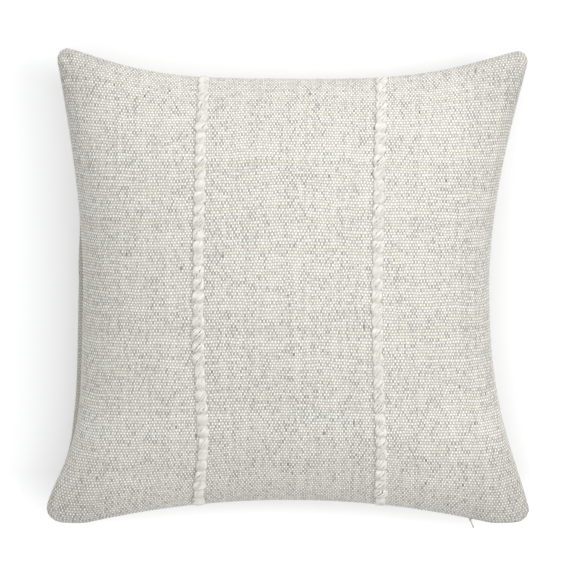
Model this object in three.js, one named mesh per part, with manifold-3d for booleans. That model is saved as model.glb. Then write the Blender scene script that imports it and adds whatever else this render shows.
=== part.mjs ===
// A square throw pillow lying on its back, in millimetres: a zipped woven cover with two raised
// bundles of roving on its front, around a separate filled insert.
// +X runs along the zipped edge, +Y away from it and +Z up out of the front. The origin is the
// middle of the flat patch that the back rests on.
import * as THREE from "three";
import { ParametricGeometry } from "three/addons/geometries/ParametricGeometry.js";
import { mergeGeometries, mergeVertices } from "three/addons/utils/BufferGeometryUtils.js";
import Module from "manifold-3d";

// ---------------------------------------------------------------- driving dimensions
const WIDTH = 500; // corner to corner along the zipped edge
const DEPTH = 492; // corner to corner across it
const SEAM_HEIGHT = 72; // the seam's height above the surface that the back rests on
const FRONT_CROWN = 93; // how far the front stands above the seam
const BACK_CROWN = 88; // how far a free back would hang below the seam, before the floor flattens it
const BASE_FADE = 12; // how fast a layer leaves the height that it has at its own edge
const BACK_ROUNDING = 1.5; // power of the curve that eases the back into its flat patch
const CROWN_FULLNESS = 0.55; // power of the crown's profile: 0.5 is an ellipse
const CORNER_CUT = 4; // how far the sewn corner is rounded off
const CORNER_SHARPNESS = 40; // power that keeps the rounding to the last 15 mm or so

// Each side is drawn in by the filling: depth at mid side, and the two powers of its curve.
const LEFT = { depth: 27, reach: 2, ease: 1.2 };
const RIGHT = { depth: 39, reach: 1.75, ease: 1 };
const FAR = { depth: 28, reach: 2.5, ease: 1.1 };
const ZIP_SIDE_DEPTH = 26; // the zipped side's depth, a true arc as far as the zip goes
const ARC_OVERRUN = 1.335; // the arc carried on to the corner would reach this many times that depth

// Cover.
const CLOTH = 1.8; // thick handwoven cloth
const SEAM_GAP = 0.6; // between the two sewn edges
const BRIDGE_THICK = 1; // the slider's bridge, out through the lips
const LIP_GAP = BRIDGE_THICK + 0.8; // between the two lips over the zip
const ALLOWANCE = 12; // seam allowance turned inside
const LIP = 3; // turned edge along the zip
const LIP_OVERRUN = 8; // how far the lips run past each end of the zip
const ALLOWANCE_CHANGE = 20; // length over which a seam allowance runs into a lip

// Roving bundles on the front.
const ROVING_PLACE = 0.365; // of the way from the middle to the side
const ROVING_WIDTH = 11;
const ROVING_HEIGHT = 4.2;
const ROVING_PITCH = 13; // between the yarns that tie it down
const ROVING_PINCH = 0.62; // width at a tie, as a share of the full width
const ROVING_END = 0.97; // it runs this far from the middle to the seam
const ROVING_LIFT = 0.7; // clearance to the cloth

// Sewing threads.
const THREAD_RADIUS = 0.4;
const OVERLOCK_RADIUS = 0.8;
const SEAM_LINE = 6; // from the edge to the line of stitches
const CORNER_STOP = 0.004; // share of the way round left bare at a corner
const CLEAR = 0.3; // between pieces that touch
const WELD = 0.05; // how far the plates of one casting run into each other

// Insert.
const INSERT_INSET = ALLOWANCE + 4; // from the cover's edge to the insert's
const CASING = 0.6; // down-proof cotton
const LAYER_GAP = 0.6; // between one layer and the next
const CASING_SEAM_GAP = 0.4;

// Zip, as distances inwards from the seam's edge.
const ZIP_MARGIN = 54; // sewn seam left between each corner and the zip
const COIL = 1.8; // the coil's depth
const COIL_HEIGHT = 2.1; // each half of the chain
const COIL_SPLIT = 0.5; // from the middle to each half
const TAPE = 0.5;
const TAPE_WIDTH = 5.2; // of each tape beyond its coil
const PLATE = 0.8; // the slider's plates and guides
const SLIDER_CLEAR = 0.4; // between the slider and what it slides past
const ZIP_CENTRE = LIP + SLIDER_CLEAR + PLATE + SLIDER_CLEAR + COIL / 2; // depth of the chain's middle
const GUIDE = 0.7; // how far a guide turns in towards the tape
const GUIDE_FROM = COIL_SPLIT + COIL_HEIGHT + CLEAR; // from the middle to each guide
const PLATE_REACH = GUIDE_FROM + 0.7; // the slider's half height
const SHELF = 1.3; // the lip's turned edge, past the slider
const SLIDER_LENGTH = 8;
const BLADE = 0.4; // the wedge that parts the two halves
const BLADE_LENGTH = 2.5;
const STOP_LENGTH = 4;
const SLIDER_REST = SLIDER_LENGTH / 2 + CLEAR; // from the end stop to the slider's middle when closed

// Pull.
const BRIDGE_RADIUS = 1.2;
const PIN_RADIUS = 0.45;
const PIN_CLEAR = 0.25;
const EAR_RADIUS = 1;
const PIVOT_OUT = EAR_RADIUS + 0.4; // the pull's pivot, outside the lips
const EAR_THICK = 0.7;
const PULL_LENGTH = 9; // pivot to tip
const PULL_THICK = 1.2;
const PULL_WIDTH = 4.8; // at its widest
const PULL_ROOT = BRIDGE_RADIUS + 0.6; // from the pivot to the plate
const PULL_REST = 34.5; // degrees from straight out, towards +X

// Care label, folded into the left seam.
const LABEL = { length: 36, reach: ALLOWANCE - 4.5, thick: 0.4, inset: 4.8, along: -0.45 };

// Grid cells across a panel, and around it.
const CELLS = 18;
const ROUND = 4 * CELLS;
const THREAD_SIDES = 4;
const ROVING_SIDES = 6;
const ROVING_RINGS = 2; // per bead
const ROVING_SAMPLES = 300; // for measuring its length
const ZIP_STEPS = 24;

// ---------------------------------------------------------------- the pillow's shape
const CORNER_SPARE = 0.7 * CORNER_CUT; // what rounding the corners takes off the size
const HALF_WIDTH = WIDTH / 2 + CORNER_SPARE;
const HALF_DEPTH = DEPTH / 2 + CORNER_SPARE;
const ARC_DROP = ZIP_SIDE_DEPTH * ARC_OVERRUN;
const ARC_RADIUS = HALF_WIDTH ** 2 / (2 * ARC_DROP) + ARC_DROP / 2;
const ARC_CENTRE_Y = -(HALF_DEPTH - ZIP_SIDE_DEPTH) - ARC_RADIUS;
const ZIP_HALF_ANGLE = (HALF_WIDTH - ZIP_MARGIN) / ARC_RADIUS;
const ARC_END_X = ARC_RADIUS * Math.sin(ZIP_HALF_ANGLE) + LIP_OVERRUN;

const clamp01 = (value) => Math.min(1, Math.max(0, value));
const smooth = (value) => clamp01(value) ** 2 * (3 - 2 * clamp01(value));

// How far a side is drawn in, at a place from -1 to 1 along it.
function drawnIn(side, along) {
  return side.depth * clamp01(1 - Math.abs(along) ** side.reach) ** side.ease;
}

// How far the zipped side lies from the middle at x: an arc, then an easy curve to the corner.
function zipSideReach(x) {
  const off = Math.abs(x);
  const arc = (at) => -(ARC_CENTRE_Y + Math.sqrt(ARC_RADIUS ** 2 - at ** 2));
  if (off <= ARC_END_X) return arc(off);
  const span = HALF_WIDTH - ARC_END_X;
  const share = (off - ARC_END_X) / span;
  const slope = ARC_END_X / Math.sqrt(ARC_RADIUS ** 2 - ARC_END_X ** 2);
  const left = HALF_DEPTH - arc(ARC_END_X);
  return HALF_DEPTH - left * (2 * share ** 3 - 3 * share ** 2 + 1) + slope * span * share * (1 - share) ** 2;
}

// Plan position of a place on a panel. across and along run from -1 to 1, and inset draws the edge in.
function plan(across, along, inset = 0) {
  const corner = CORNER_CUT * Math.abs(across * along) ** CORNER_SHARPNESS + inset;
  const side = HALF_WIDTH - drawnIn(across < 0 ? LEFT : RIGHT, along);
  const end = along < 0 ? zipSideReach(across * HALF_WIDTH) : HALF_DEPTH - drawnIn(FAR, across);
  return [across * (side - corner), along * (end - corner)];
}

// From 0 at the seam to 1 in the middle.
function crown(across, along) {
  return (clamp01(1 - across ** 2) * clamp01(1 - along ** 2)) ** CROWN_FULLNESS;
}

// 1 along the zip and 0 elsewhere on the edge.
function zipShare(across, along) {
  const past = (Math.abs(across * HALF_WIDTH) - ARC_END_X) / ALLOWANCE_CHANGE;
  return (1 - smooth(past)) * smooth(-5 * along - 4);
}

// A size that has one value on the sewn sides and another along the zip.
const alongEdge = (sewn, zipped) => (across, along) => sewn + (zipped - sewn) * zipShare(across, along);
const edgeGap = alongEdge(SEAM_GAP, LIP_GAP);

// Height of a layer. side is 1 for the front and -1 for the back, and under is how far the layer
// lies below the cover's outer face. base is its distance from the seam's plane at its own edge.
function height(side, across, along, under, base) {
  const rise = crown(across, along);
  const pressed = 1 - (1 - clamp01((rise * BACK_CROWN) / SEAM_HEIGHT)) ** BACK_ROUNDING;
  const [top, share] = side > 0 ? [FRONT_CROWN, rise] : [SEAM_HEIGHT, pressed];
  return SEAM_HEIGHT + side * (base * (1 - share) ** BASE_FADE + (top - under) * share);
}

// ---------------------------------------------------------------- geometry helpers
// Grid lines lie closer together towards the edges, where the crown turns down, and two of them mark
// where the zip's lips end and where the full seam allowance starts.
const LINES = Array.from({ length: CELLS + 1 }, (_, i) => Math.sin(Math.PI * (i / CELLS - 0.5)));
const zipLine = LINES.findIndex((line, i) => (line + LINES[i + 1]) / 2 > ARC_END_X / HALF_WIDTH);
[ARC_END_X, ARC_END_X + ALLOWANCE_CHANGE].forEach((x, i) => {
  LINES[zipLine + i] = x / HALF_WIDTH;
  LINES[CELLS - zipLine - i] = -x / HALF_WIDTH;
});

function spread(share) {
  const place = clamp01(share) * CELLS;
  const line = Math.min(CELLS - 1, Math.floor(place));
  return LINES[line] + (LINES[line + 1] - LINES[line]) * (place - line);
}

// Walks round the edge of a panel, anticlockwise from above, for share from 0 to 1.
function edge(share) {
  const place = (((share % 1) + 1) % 1) * 4;
  const side = Math.floor(place);
  const at = spread(place - side);
  return [[at, -1], [1, at], [-at, 1], [-1, -at]][side];
}

function surface(point, slices, stacks, reversed = false) {
  const at = (u, v, target) => target.set(...point(u, v));
  const made = new ParametricGeometry(at, slices, stacks);
  if (reversed) made.index.array.reverse();
  return made;
}

// Joins surfaces that share their edges into one closed geometry.
function closed(surfaces) {
  surfaces.forEach((part) => {
    part.deleteAttribute("normal");
    part.deleteAttribute("uv");
  });
  const joined = mergeVertices(mergeGeometries(surfaces), 1e-3);
  const corners = joined.index.array;
  const kept = [];
  for (let i = 0; i < corners.length; i += 3) {
    const [a, b, c] = corners.slice(i, i + 3);
    if (a !== b && b !== c && c !== a) kept.push(a, b, c);
  }
  joined.setIndex(kept);
  return joined;
}

// A face over the whole panel at one layer.
function skin(side, layer, reversed) {
  const point = (u, v) => {
    const [across, along] = [spread(u), spread(v)];
    const base = layer.base(across, along);
    return [...plan(across, along, layer.inset), height(side, across, along, layer.under, base)];
  };
  return surface(point, CELLS, CELLS, reversed);
}

// A shell between two layers. loops close its edge, as (inset, distance from the seam's plane).
function shell(side, outer, inner, loops) {
  const strips = loops(0, -1).length - 1;
  const rimPoint = (u, v) => {
    const [across, along] = edge(u);
    const [inset, lift] = loops(across, along)[Math.round(v * strips)];
    return [...plan(across, along, inset), SEAM_HEIGHT + side * lift];
  };
  const isBack = side < 0;
  return closed([
    skin(side, outer, isBack),
    skin(side, inner, !isBack),
    surface(rimPoint, ROUND, strips, !isBack),
  ]);
}

// A straight-sided strip that follows the zip: depths in from the edge, heights from the seam's plane.
function zipStrip(near, far, low, high, from, to, steps) {
  const shape = new THREE.Shape();
  const turn = (angle) => Math.PI / 2 - angle;
  shape.absarc(0, 0, ARC_RADIUS + far, turn(from), turn(to), true);
  shape.absarc(0, 0, ARC_RADIUS + near, turn(to), turn(from), false);
  const options = { depth: high - low, bevelEnabled: false, curveSegments: steps };
  const strip = new THREE.ExtrudeGeometry(shape, options);
  return strip.translate(0, ARC_CENTRE_Y, SEAM_HEIGHT + low);
}

// Where a thread beside the cover's edge runs: share as edge() counts it, then inset and lift.
function besideEdge(share, inset, lift) {
  return [...plan(...edge(share), inset), SEAM_HEIGHT + lift];
}

// The same beside the zip, with an angle in place of the share.
function besideZip(angle, inset, lift) {
  const reach = ARC_RADIUS + inset;
  return [reach * Math.sin(angle), ARC_CENTRE_Y + reach * Math.cos(angle), SEAM_HEIGHT + lift];
}

// A round thread with a ring of points at every stop.
function thread(place, stops, inset, lift, radius) {
  const rings = [stops[0], ...stops, stops.at(-1)];
  const last = rings.length - 1;
  const point = (u, v) => {
    const ring = Math.round(v * last);
    const size = ring % last === 0 ? 0 : radius;
    const angle = 2 * Math.PI * u;
    return place(rings[ring], inset + size * Math.cos(angle), lift + size * Math.sin(angle));
  };
  return closed([surface(point, THREAD_SIDES, last)]);
}

// The grid lines of the panels' edge that lie between two shares, with the shares themselves.
function edgeStops(from, to) {
  const lines = Array.from({ length: 2 * ROUND }, (_, i) => i / ROUND);
  return [from, ...lines.filter((line) => line > from + 1e-3 && line < to - 1e-3), to];
}

const wasm = await Module();
wasm.setup();

function toSolid(geometry) {
  const merged = geometry.index ? geometry.toNonIndexed() : geometry.clone();
  merged.deleteAttribute("normal");
  merged.deleteAttribute("uv");
  const welded = mergeVertices(merged, 1e-4);
  const vertProperties = welded.attributes.position.array;
  const triVerts = new Uint32Array(welded.index.array);
  return new wasm.Manifold(new wasm.Mesh({ numProp: 3, vertProperties, triVerts }));
}

function toGeometry(solid) {
  const mesh = solid.getMesh();
  const geometry = new THREE.BufferGeometry();
  geometry.setAttribute("position", new THREE.BufferAttribute(new Float32Array(mesh.vertProperties), 3));
  geometry.setIndex(new THREE.BufferAttribute(new Uint32Array(mesh.triVerts), 1));
  return geometry;
}

const union = (geometries) => toGeometry(geometries.map(toSolid).reduce((sum, next) => sum.add(next)));

// ---------------------------------------------------------------- pieces of the cover
function coverPanel(side) {
  const half = (across, along) => edgeGap(across, along) / 2;
  // Under the lip, a shelf of folded cloth reaches in to the zip's tape, past the slider.
  const shelfLow = alongEdge(SEAM_GAP / 2, PLATE_REACH + SLIDER_CLEAR);
  const shelfHigh = alongEdge(SEAM_GAP / 2 + CLOTH, PLATE_REACH + SLIDER_CLEAR + SHELF);
  const lip = alongEdge(ALLOWANCE - 1, LIP);
  const shelf = alongEdge(ALLOWANCE, ZIP_CENTRE - TAPE / 2 - CLEAR);
  const outer = { inset: 0, under: 0, base: half };
  const inner = { inset: CLOTH, under: CLOTH, base: shelfHigh };
  return shell(side, outer, inner, (across, along) => {
    const [low, step] = [half(across, along), shelfLow(across, along)];
    const [top, turn] = [shelfHigh(across, along), lip(across, along)];
    const reach = shelf(across, along);
    return [[0, low], [turn, low], [turn, step], [reach, step], [reach, top], [CLOTH, top]];
  });
}

// Places along a panel that are evenly spaced along a path over it, found from its length so far.
function evenPlaces(stops, points) {
  const lengths = [0];
  points.slice(1).forEach((end, i) => lengths.push(lengths[i] + end.distanceTo(points[i])));
  const total = lengths.at(-1);
  const placeAt = (share) => {
    const next = Math.max(1, lengths.findIndex((length) => length >= share * total - 1e-9));
    const part = (share * total - lengths[next - 1]) / (lengths[next] - lengths[next - 1]);
    return THREE.MathUtils.lerp(stops[next - 1], stops[next], clamp01(part));
  };
  return { total, placeAt };
}

// A bundle of roving laid over the front and pinched by a tie at every pitch.
function roving(across) {
  const onCloth = (place, along) => {
    const base = edgeGap(place, along) / 2;
    return new THREE.Vector3(...plan(place, along), height(1, place, along, 0, base));
  };
  const upAt = (along) => {
    const step = 1e-3;
    const ahead = onCloth(across, along + step).sub(onCloth(across, along - step));
    return new THREE.Vector3(0, -ahead.z, ahead.y).normalize();
  };
  const shares = Array.from({ length: ROVING_SAMPLES + 1 }, (_, i) => i / ROVING_SAMPLES);
  const stops = shares.map((share) => ROVING_END * spread(share));
  const { total, placeAt } = evenPlaces(stops, stops.map((along) => onCloth(across, along)));
  const beads = Math.round(total / ROVING_PITCH);
  const point = (u, v) => {
    const along = placeAt(v);
    const fullness = Math.sqrt(Math.abs(Math.sin(Math.PI * v * beads)));
    const isEnd = v < 1e-6 || v > 1 - 1e-6;
    const size = isEnd ? 0 : ROVING_PINCH + (1 - ROVING_PINCH) * fullness;
    const angle = 2 * Math.PI * u;
    const sideways = ((ROVING_WIDTH / 2) * size * Math.cos(angle)) / HALF_WIDTH;
    const rise = ROVING_LIFT + ROVING_HEIGHT * size * Math.max(0, Math.sin(angle));
    return onCloth(across + sideways, along).addScaledVector(upAt(along), rise).toArray();
  };
  return closed([surface(point, ROVING_SIDES, beads * ROVING_RINGS, true)]);
}

// Where the full seam allowance has begun, as a share of the way round: the zipped side is 0 to 0.25.
const zipEndShare = (zipLine + 1.2) / ROUND;

// One line of stitches round the three sewn sides and the ends of the zipped one.
function seamThread() {
  const lift = SEAM_GAP / 2 + CLOTH + CLEAR + THREAD_RADIUS;
  return thread(besideEdge, edgeStops(zipEndShare, 1.25 - zipEndShare), SEAM_LINE, lift, THREAD_RADIUS);
}

// The overlocked raw edge of the allowance on the three sewn sides.
function overlockThread(side) {
  const inset = ALLOWANCE + CLEAR + OVERLOCK_RADIUS;
  const lift = side * (SEAM_GAP / 2 + CLOTH / 2);
  return thread(besideEdge, edgeStops(0.25 + CORNER_STOP, 1 - CORNER_STOP), inset, lift, OVERLOCK_RADIUS);
}

function careLabel() {
  const label = new THREE.BoxGeometry(LABEL.reach, LABEL.length, LABEL.thick);
  const [x, y] = plan(-1, LABEL.along, LABEL.inset);
  const lift = SEAM_GAP / 2 + CLOTH + CLEAR + LABEL.thick / 2;
  return label.translate(x + LABEL.reach / 2, y, SEAM_HEIGHT - lift);
}

// ---------------------------------------------------------------- pieces of the zip
const TAPE_LOW = COIL_SPLIT + COIL_HEIGHT + CLEAR;
const TAPE_HIGH = TAPE_LOW + TAPE_WIDTH;
const STOP_ANGLE = STOP_LENGTH / ARC_RADIUS;

function zipThread(side) {
  const depth = ZIP_CENTRE + TAPE / 2 + CLEAR + THREAD_RADIUS;
  const stops = Array.from({ length: ZIP_STEPS + 1 }, (_, i) => ZIP_HALF_ANGLE * ((2 * i) / ZIP_STEPS - 1));
  const lift = PLATE_REACH + SLIDER_CLEAR + SHELF / 2;
  return thread(besideZip, stops, depth, side * lift, THREAD_RADIUS);
}

function disc(radius, low, high, sides) {
  const made = new THREE.CylinderGeometry(radius, radius, high - low, sides).rotateX(Math.PI / 2);
  return made.translate(0, 0, (low + high) / 2);
}

// The slider's frame: x along the zip, y inwards from the chain's middle, z up from the seam's plane.
function sliderBody() {
  const inside = COIL / 2 + SLIDER_CLEAR;
  const plate = (from, to, low, high, length = SLIDER_LENGTH) =>
    new THREE.BoxGeometry(length, to - from, high - low).translate(0, (from + to) / 2, (low + high) / 2);
  const parts = [
    plate(-inside - PLATE, -inside, -PLATE_REACH, PLATE_REACH),
    plate(inside, inside + PLATE, -PLATE_REACH, PLATE_REACH),
    plate(-inside - WELD, inside + WELD, -BLADE / 2, BLADE / 2, BLADE_LENGTH),
  ];
  [
    [GUIDE_FROM, PLATE_REACH],
    [-PLATE_REACH, -GUIDE_FROM],
  ].forEach(([low, high]) => {
    parts.push(plate(-inside - WELD, -inside + GUIDE, low, high));
    parts.push(plate(inside - GUIDE, inside + WELD, low, high));
  });
  const pivot = -ZIP_CENTRE - PIVOT_OUT;
  const half = BRIDGE_THICK / 2;
  parts.push(plate(pivot, -inside - PLATE / 2, -half, half, 2 * BRIDGE_RADIUS));
  parts.push(disc(BRIDGE_RADIUS, -half, half, 24).translate(0, pivot, 0));
  const hole = disc(PIN_RADIUS + PIN_CLEAR, -BRIDGE_THICK, BRIDGE_THICK, 24).translate(0, pivot, 0);
  return toGeometry(toSolid(union(parts)).subtract(toSolid(hole)));
}

// The pull's frame: z along its pin, and the plate reaching out towards -y.
function pullTab() {
  const earLow = BRIDGE_THICK / 2 + CLEAR;
  const earHigh = earLow + EAR_THICK;
  const parts = [disc(PIN_RADIUS, -earHigh, earHigh, 16)];
  [
    [earLow, earHigh],
    [-earHigh, -earLow],
  ].forEach(([low, high]) => {
    parts.push(disc(EAR_RADIUS, low, high, 20));
    const arm = new THREE.BoxGeometry(PULL_THICK, PULL_ROOT + WELD, high - low);
    parts.push(arm.translate(0, -(PULL_ROOT + WELD) / 2, (low + high) / 2));
  });
  // Teardrop plate, drawn as (length, width) and stood on edge.
  const tip = PULL_WIDTH / 2;
  const outline = new THREE.Shape();
  outline.moveTo(PULL_ROOT, -earHigh);
  outline.lineTo(PULL_LENGTH - tip, -tip);
  outline.absarc(PULL_LENGTH - tip, 0, tip, -Math.PI / 2, Math.PI / 2, false);
  outline.lineTo(PULL_ROOT, earHigh);
  const options = { depth: PULL_THICK, bevelEnabled: false, curveSegments: 12 };
  const plate = new THREE.ExtrudeGeometry(outline, options).translate(0, 0, -PULL_THICK / 2);
  const turned = new THREE.Matrix4().makeBasis(
    new THREE.Vector3(0, -1, 0),
    new THREE.Vector3(0, 0, 1),
    new THREE.Vector3(-1, 0, 0),
  );
  parts.push(plate.applyMatrix4(turned));
  return union(parts);
}

// ---------------------------------------------------------------- pieces of the insert
function layer(extraInset, under, base) {
  return { inset: INSERT_INSET + extraInset, under, base: () => base };
}
const CASING_UNDER = CLOTH + LAYER_GAP;
const FILL_UNDER = CASING_UNDER + CASING + LAYER_GAP;

function casingPanel(side) {
  const low = CASING_SEAM_GAP / 2;
  const outer = layer(0, CASING_UNDER, low);
  const inner = layer(CASING, CASING_UNDER + CASING, low + CASING);
  const third = CASING / 3;
  return shell(side, outer, inner, () => [
    [outer.inset, low],
    [outer.inset + third, low],
    [outer.inset + 2 * third, low],
    [inner.inset, low + CASING],
  ]);
}

function filling() {
  const body = layer(CASING + LAYER_GAP, FILL_UNDER, 0);
  return closed([skin(1, body, false), skin(-1, body, true)]);
}

// A closed loop of stitches round the insert's seam.
function insertSeamThread() {
  const centre = INSERT_INSET - CLEAR - THREAD_RADIUS;
  const point = (u, v) => {
    const [across, along] = edge(u);
    const angle = 2 * Math.PI * v;
    const inset = centre - THREAD_RADIUS * Math.cos(angle);
    return [...plan(across, along, inset), SEAM_HEIGHT + THREAD_RADIUS * Math.sin(angle)];
  };
  return closed([surface(point, ROUND, THREAD_SIDES)]);
}

// ---------------------------------------------------------------- materials and assembly
function material(color, roughness, metalness = 0) {
  return new THREE.MeshStandardMaterial({ color, roughness, metalness });
}

const wovenCloth = material(0xd9d5cc, 0.95);
const rovingWool = material(0xe8e5de, 0.95);
const sewingThread = material(0xd4cfc4, 0.8);
const whiteCotton = material(0xf1efea, 0.9);
const zipTape = material(0xd6d2c8, 0.85);
const zipNylon = material(0xcfcabf, 0.45);
const zipMetal = material(0xb9b5a8, 0.4, 0.6);

function add(parent, name, geometry, finish) {
  const mesh = new THREE.Mesh(geometry, finish);
  mesh.name = name;
  parent.add(mesh);
}

const pillow = new THREE.Group();
add(pillow, "cover_front_panel", coverPanel(1), wovenCloth);
add(pillow, "cover_back_panel", coverPanel(-1), wovenCloth);
add(pillow, "roving_stripe_left", roving(-ROVING_PLACE), rovingWool);
add(pillow, "roving_stripe_right", roving(ROVING_PLACE), rovingWool);
add(pillow, "seam_thread", seamThread(), sewingThread);
add(pillow, "overlock_thread_front", overlockThread(1), sewingThread);
add(pillow, "overlock_thread_back", overlockThread(-1), sewingThread);
add(pillow, "care_label", careLabel(), whiteCotton);

// The chain between its stops, and the two tapes along the whole zip.
const coilTop = COIL_SPLIT + COIL_HEIGHT;
const coilBand = [ZIP_CENTRE - COIL / 2, ZIP_CENTRE + COIL / 2, COIL_SPLIT, coilTop];
const tapeBand = [ZIP_CENTRE - TAPE / 2, ZIP_CENTRE + TAPE / 2, TAPE_LOW, TAPE_HIGH];
const stopFrom = ZIP_HALF_ANGLE - STOP_ANGLE;
const coilEnd = stopFrom - CLEAR / ARC_RADIUS;

function addPair(name, band, from, to, steps, finish) {
  const [near, far, low, high] = band;
  add(pillow, `${name}_front`, zipStrip(near, far, low, high, from, to, steps), finish);
  add(pillow, `${name}_back`, zipStrip(near, far, -high, -low, from, to, steps), finish);
}

addPair("zip_tape", tapeBand, -ZIP_HALF_ANGLE, ZIP_HALF_ANGLE, ZIP_STEPS, zipTape);
addPair("zip_coil", coilBand, -coilEnd, coilEnd, ZIP_STEPS, zipNylon);
addPair("zip_top_stop", coilBand, stopFrom, ZIP_HALF_ANGLE, 2, zipMetal);
const bottomStop = zipStrip(coilBand[0], coilBand[1], -coilTop, coilTop, -ZIP_HALF_ANGLE, -stopFrom, 2);
add(pillow, "zip_bottom_stop", bottomStop, zipMetal);
add(pillow, "zip_thread_front", zipThread(1), sewingThread);
add(pillow, "zip_thread_back", zipThread(-1), sewingThread);

// The slider turns about the centre of the zipped side's arc, which carries it along the zip.
const zipTravel = new THREE.Group();
zipTravel.position.set(0, ARC_CENTRE_Y, SEAM_HEIGHT);
zipTravel.rotation.z = -(stopFrom - SLIDER_REST / ARC_RADIUS);
const sliderPlace = new THREE.Group();
sliderPlace.position.set(0, ARC_RADIUS + ZIP_CENTRE, 0);
add(sliderPlace, "zip_slider", sliderBody(), zipMetal);
const pullPlace = new THREE.Group();
pullPlace.position.set(0, -ZIP_CENTRE - PIVOT_OUT, 0);
pullPlace.rotation.z = THREE.MathUtils.degToRad(PULL_REST);
add(pullPlace, "zip_pull", pullTab(), zipMetal);
sliderPlace.add(pullPlace);
zipTravel.add(sliderPlace);
pillow.add(zipTravel);

add(pillow, "insert_casing_front", casingPanel(1), whiteCotton);
add(pillow, "insert_casing_back", casingPanel(-1), whiteCotton);
add(pillow, "insert_seam_thread", insertSeamThread(), sewingThread);
add(pillow, "insert_filling", filling(), whiteCotton);

export default pillow;
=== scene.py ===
"""A square throw pillow in a zipped handwoven cover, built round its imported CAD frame.

The cover's two panels are laid out thread by thread from their flat cut, eased over the filling by a
short cloth simulation, and raised into a plain weave. Two bundles of roving lie along the front.
"""

import logging
import math
from dataclasses import dataclass, field
from enum import Enum

import bpy
import numpy as np
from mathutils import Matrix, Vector


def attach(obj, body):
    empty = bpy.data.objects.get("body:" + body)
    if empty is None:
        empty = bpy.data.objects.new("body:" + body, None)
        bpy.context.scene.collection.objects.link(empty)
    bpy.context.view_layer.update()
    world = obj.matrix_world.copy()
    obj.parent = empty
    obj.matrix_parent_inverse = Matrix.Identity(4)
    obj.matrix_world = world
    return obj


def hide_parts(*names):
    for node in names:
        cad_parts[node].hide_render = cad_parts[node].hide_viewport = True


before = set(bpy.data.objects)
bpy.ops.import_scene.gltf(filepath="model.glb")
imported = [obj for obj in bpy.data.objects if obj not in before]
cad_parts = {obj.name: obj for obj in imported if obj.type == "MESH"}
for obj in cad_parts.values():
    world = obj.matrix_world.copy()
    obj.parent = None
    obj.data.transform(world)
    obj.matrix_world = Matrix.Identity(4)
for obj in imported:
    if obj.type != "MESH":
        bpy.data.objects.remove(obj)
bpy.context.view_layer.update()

log = logging.getLogger("throw_pillow")

MM = 0.001
BODY = "pillow"


class Face(Enum):
    """The two faces of the pillow."""

    FRONT = 1
    BACK = -1


# ------------------------------------------------------------------ number helpers
def smooth_step(value: np.ndarray) -> np.ndarray:
    """Returns an S curve from 0 to 1, flat outside that range."""
    held = np.clip(value, 0.0, 1.0)
    return held * held * (3.0 - 2.0 * held)


def spline_weights(places: np.ndarray, knots: int) -> np.ndarray:
    """Weights of a Catmull-Rom curve through evenly spaced knots.

    Args:
        places: where to read the curve, from -1 at the first knot to 1 at the last.
        knots: how many knots there are.

    Returns:
        One row of weights for each place.
    """
    at = (np.clip(places, -1.0, 1.0) + 1.0) / 2.0 * (knots - 1)
    first = np.minimum(at.astype(int), knots - 2)
    f = at - first
    shares = (
        -0.5 * f + f**2 - 0.5 * f**3,
        1.0 - 2.5 * f**2 + 1.5 * f**3,
        0.5 * f + 2.0 * f**2 - 1.5 * f**3,
        -0.5 * f**2 + 0.5 * f**3,
    )
    weights = np.zeros((len(places), knots))
    rows = np.arange(len(places))
    for offset, share in zip((-1, 0, 1, 2), shares):
        knot = first + offset
        # Past either end the curve is carried on in a straight line.
        before, after = knot < 0, knot > knots - 1
        inside = ~(before | after)
        np.add.at(weights, (rows[inside], knot[inside]), share[inside])
        np.add.at(weights, (rows[before], 0), 2.0 * share[before])
        np.add.at(weights, (rows[before], 1), -share[before])
        np.add.at(weights, (rows[after], knots - 1), 2.0 * share[after])
        np.add.at(weights, (rows[after], knots - 2), -share[after])
    return weights


def grid_normals(points: np.ndarray) -> np.ndarray:
    """Unit normals of a grid of points, on the side from which its rows and columns turn anticlockwise."""
    along = np.gradient(points, axis=0)
    across = np.gradient(points, axis=1)
    normal = np.cross(across, along)
    return normal / np.maximum(np.linalg.norm(normal, axis=2, keepdims=True), 1e-12)


def noise_field(rng: np.random.Generator, rows: int, cols: int, cells: int) -> np.ndarray:
    """Smooth noise over a grid.

    Args:
        rng: the source of random numbers.
        rows: grid rows.
        cols: grid columns.
        cells: how many humps the noise has across the grid.

    Returns:
        Values of about -1 to 1, one for each grid point.
    """
    knots = rng.uniform(-1.0, 1.0, (cells + 1, cells + 1))
    over = spline_weights(np.linspace(-1, 1, rows), cells + 1)
    across = spline_weights(np.linspace(-1, 1, cols), cells + 1)
    return over @ knots @ across.T


# ------------------------------------------------------------------ mesh helpers
def ring_indices(rows: int, cols: int) -> tuple[np.ndarray, np.ndarray]:
    """The edge of a grid, anticlockwise from its first corner.

    Args:
        rows: grid rows.
        cols: grid columns.

    Returns:
        The indices of its points, and their places: side 0 to 3 plus the share along it.
    """
    at = np.arange(rows * cols).reshape(rows, cols)
    sides = (at[0, :-1], at[:-1, -1], at[-1, :0:-1], at[:0:-1, 0])
    places = [side + np.arange(len(run)) / len(run) for side, run in enumerate(sides)]
    return np.concatenate(sides), np.concatenate(places)


def ring_at(places: np.ndarray) -> tuple[np.ndarray, np.ndarray]:
    """Flat places across and along, from -1 to 1, for places round the edge."""
    side = places.astype(int) % 4
    at = 2.0 * (places - places.astype(int)) - 1.0
    one = np.ones_like(at)
    across = np.choose(side, [at, one, -at, -one])
    along = np.choose(side, [-one, at, one, -at])
    return across, along


def grid_quads(rows: int, cols: int, first: int = 0) -> np.ndarray:
    """Quads over a grid of points, facing the way of grid_normals."""
    at = first + np.arange(rows * cols).reshape(rows, cols)
    return np.stack([at[:-1, :-1], at[:-1, 1:], at[1:, 1:], at[1:, :-1]], axis=-1).reshape(-1, 4)


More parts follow.
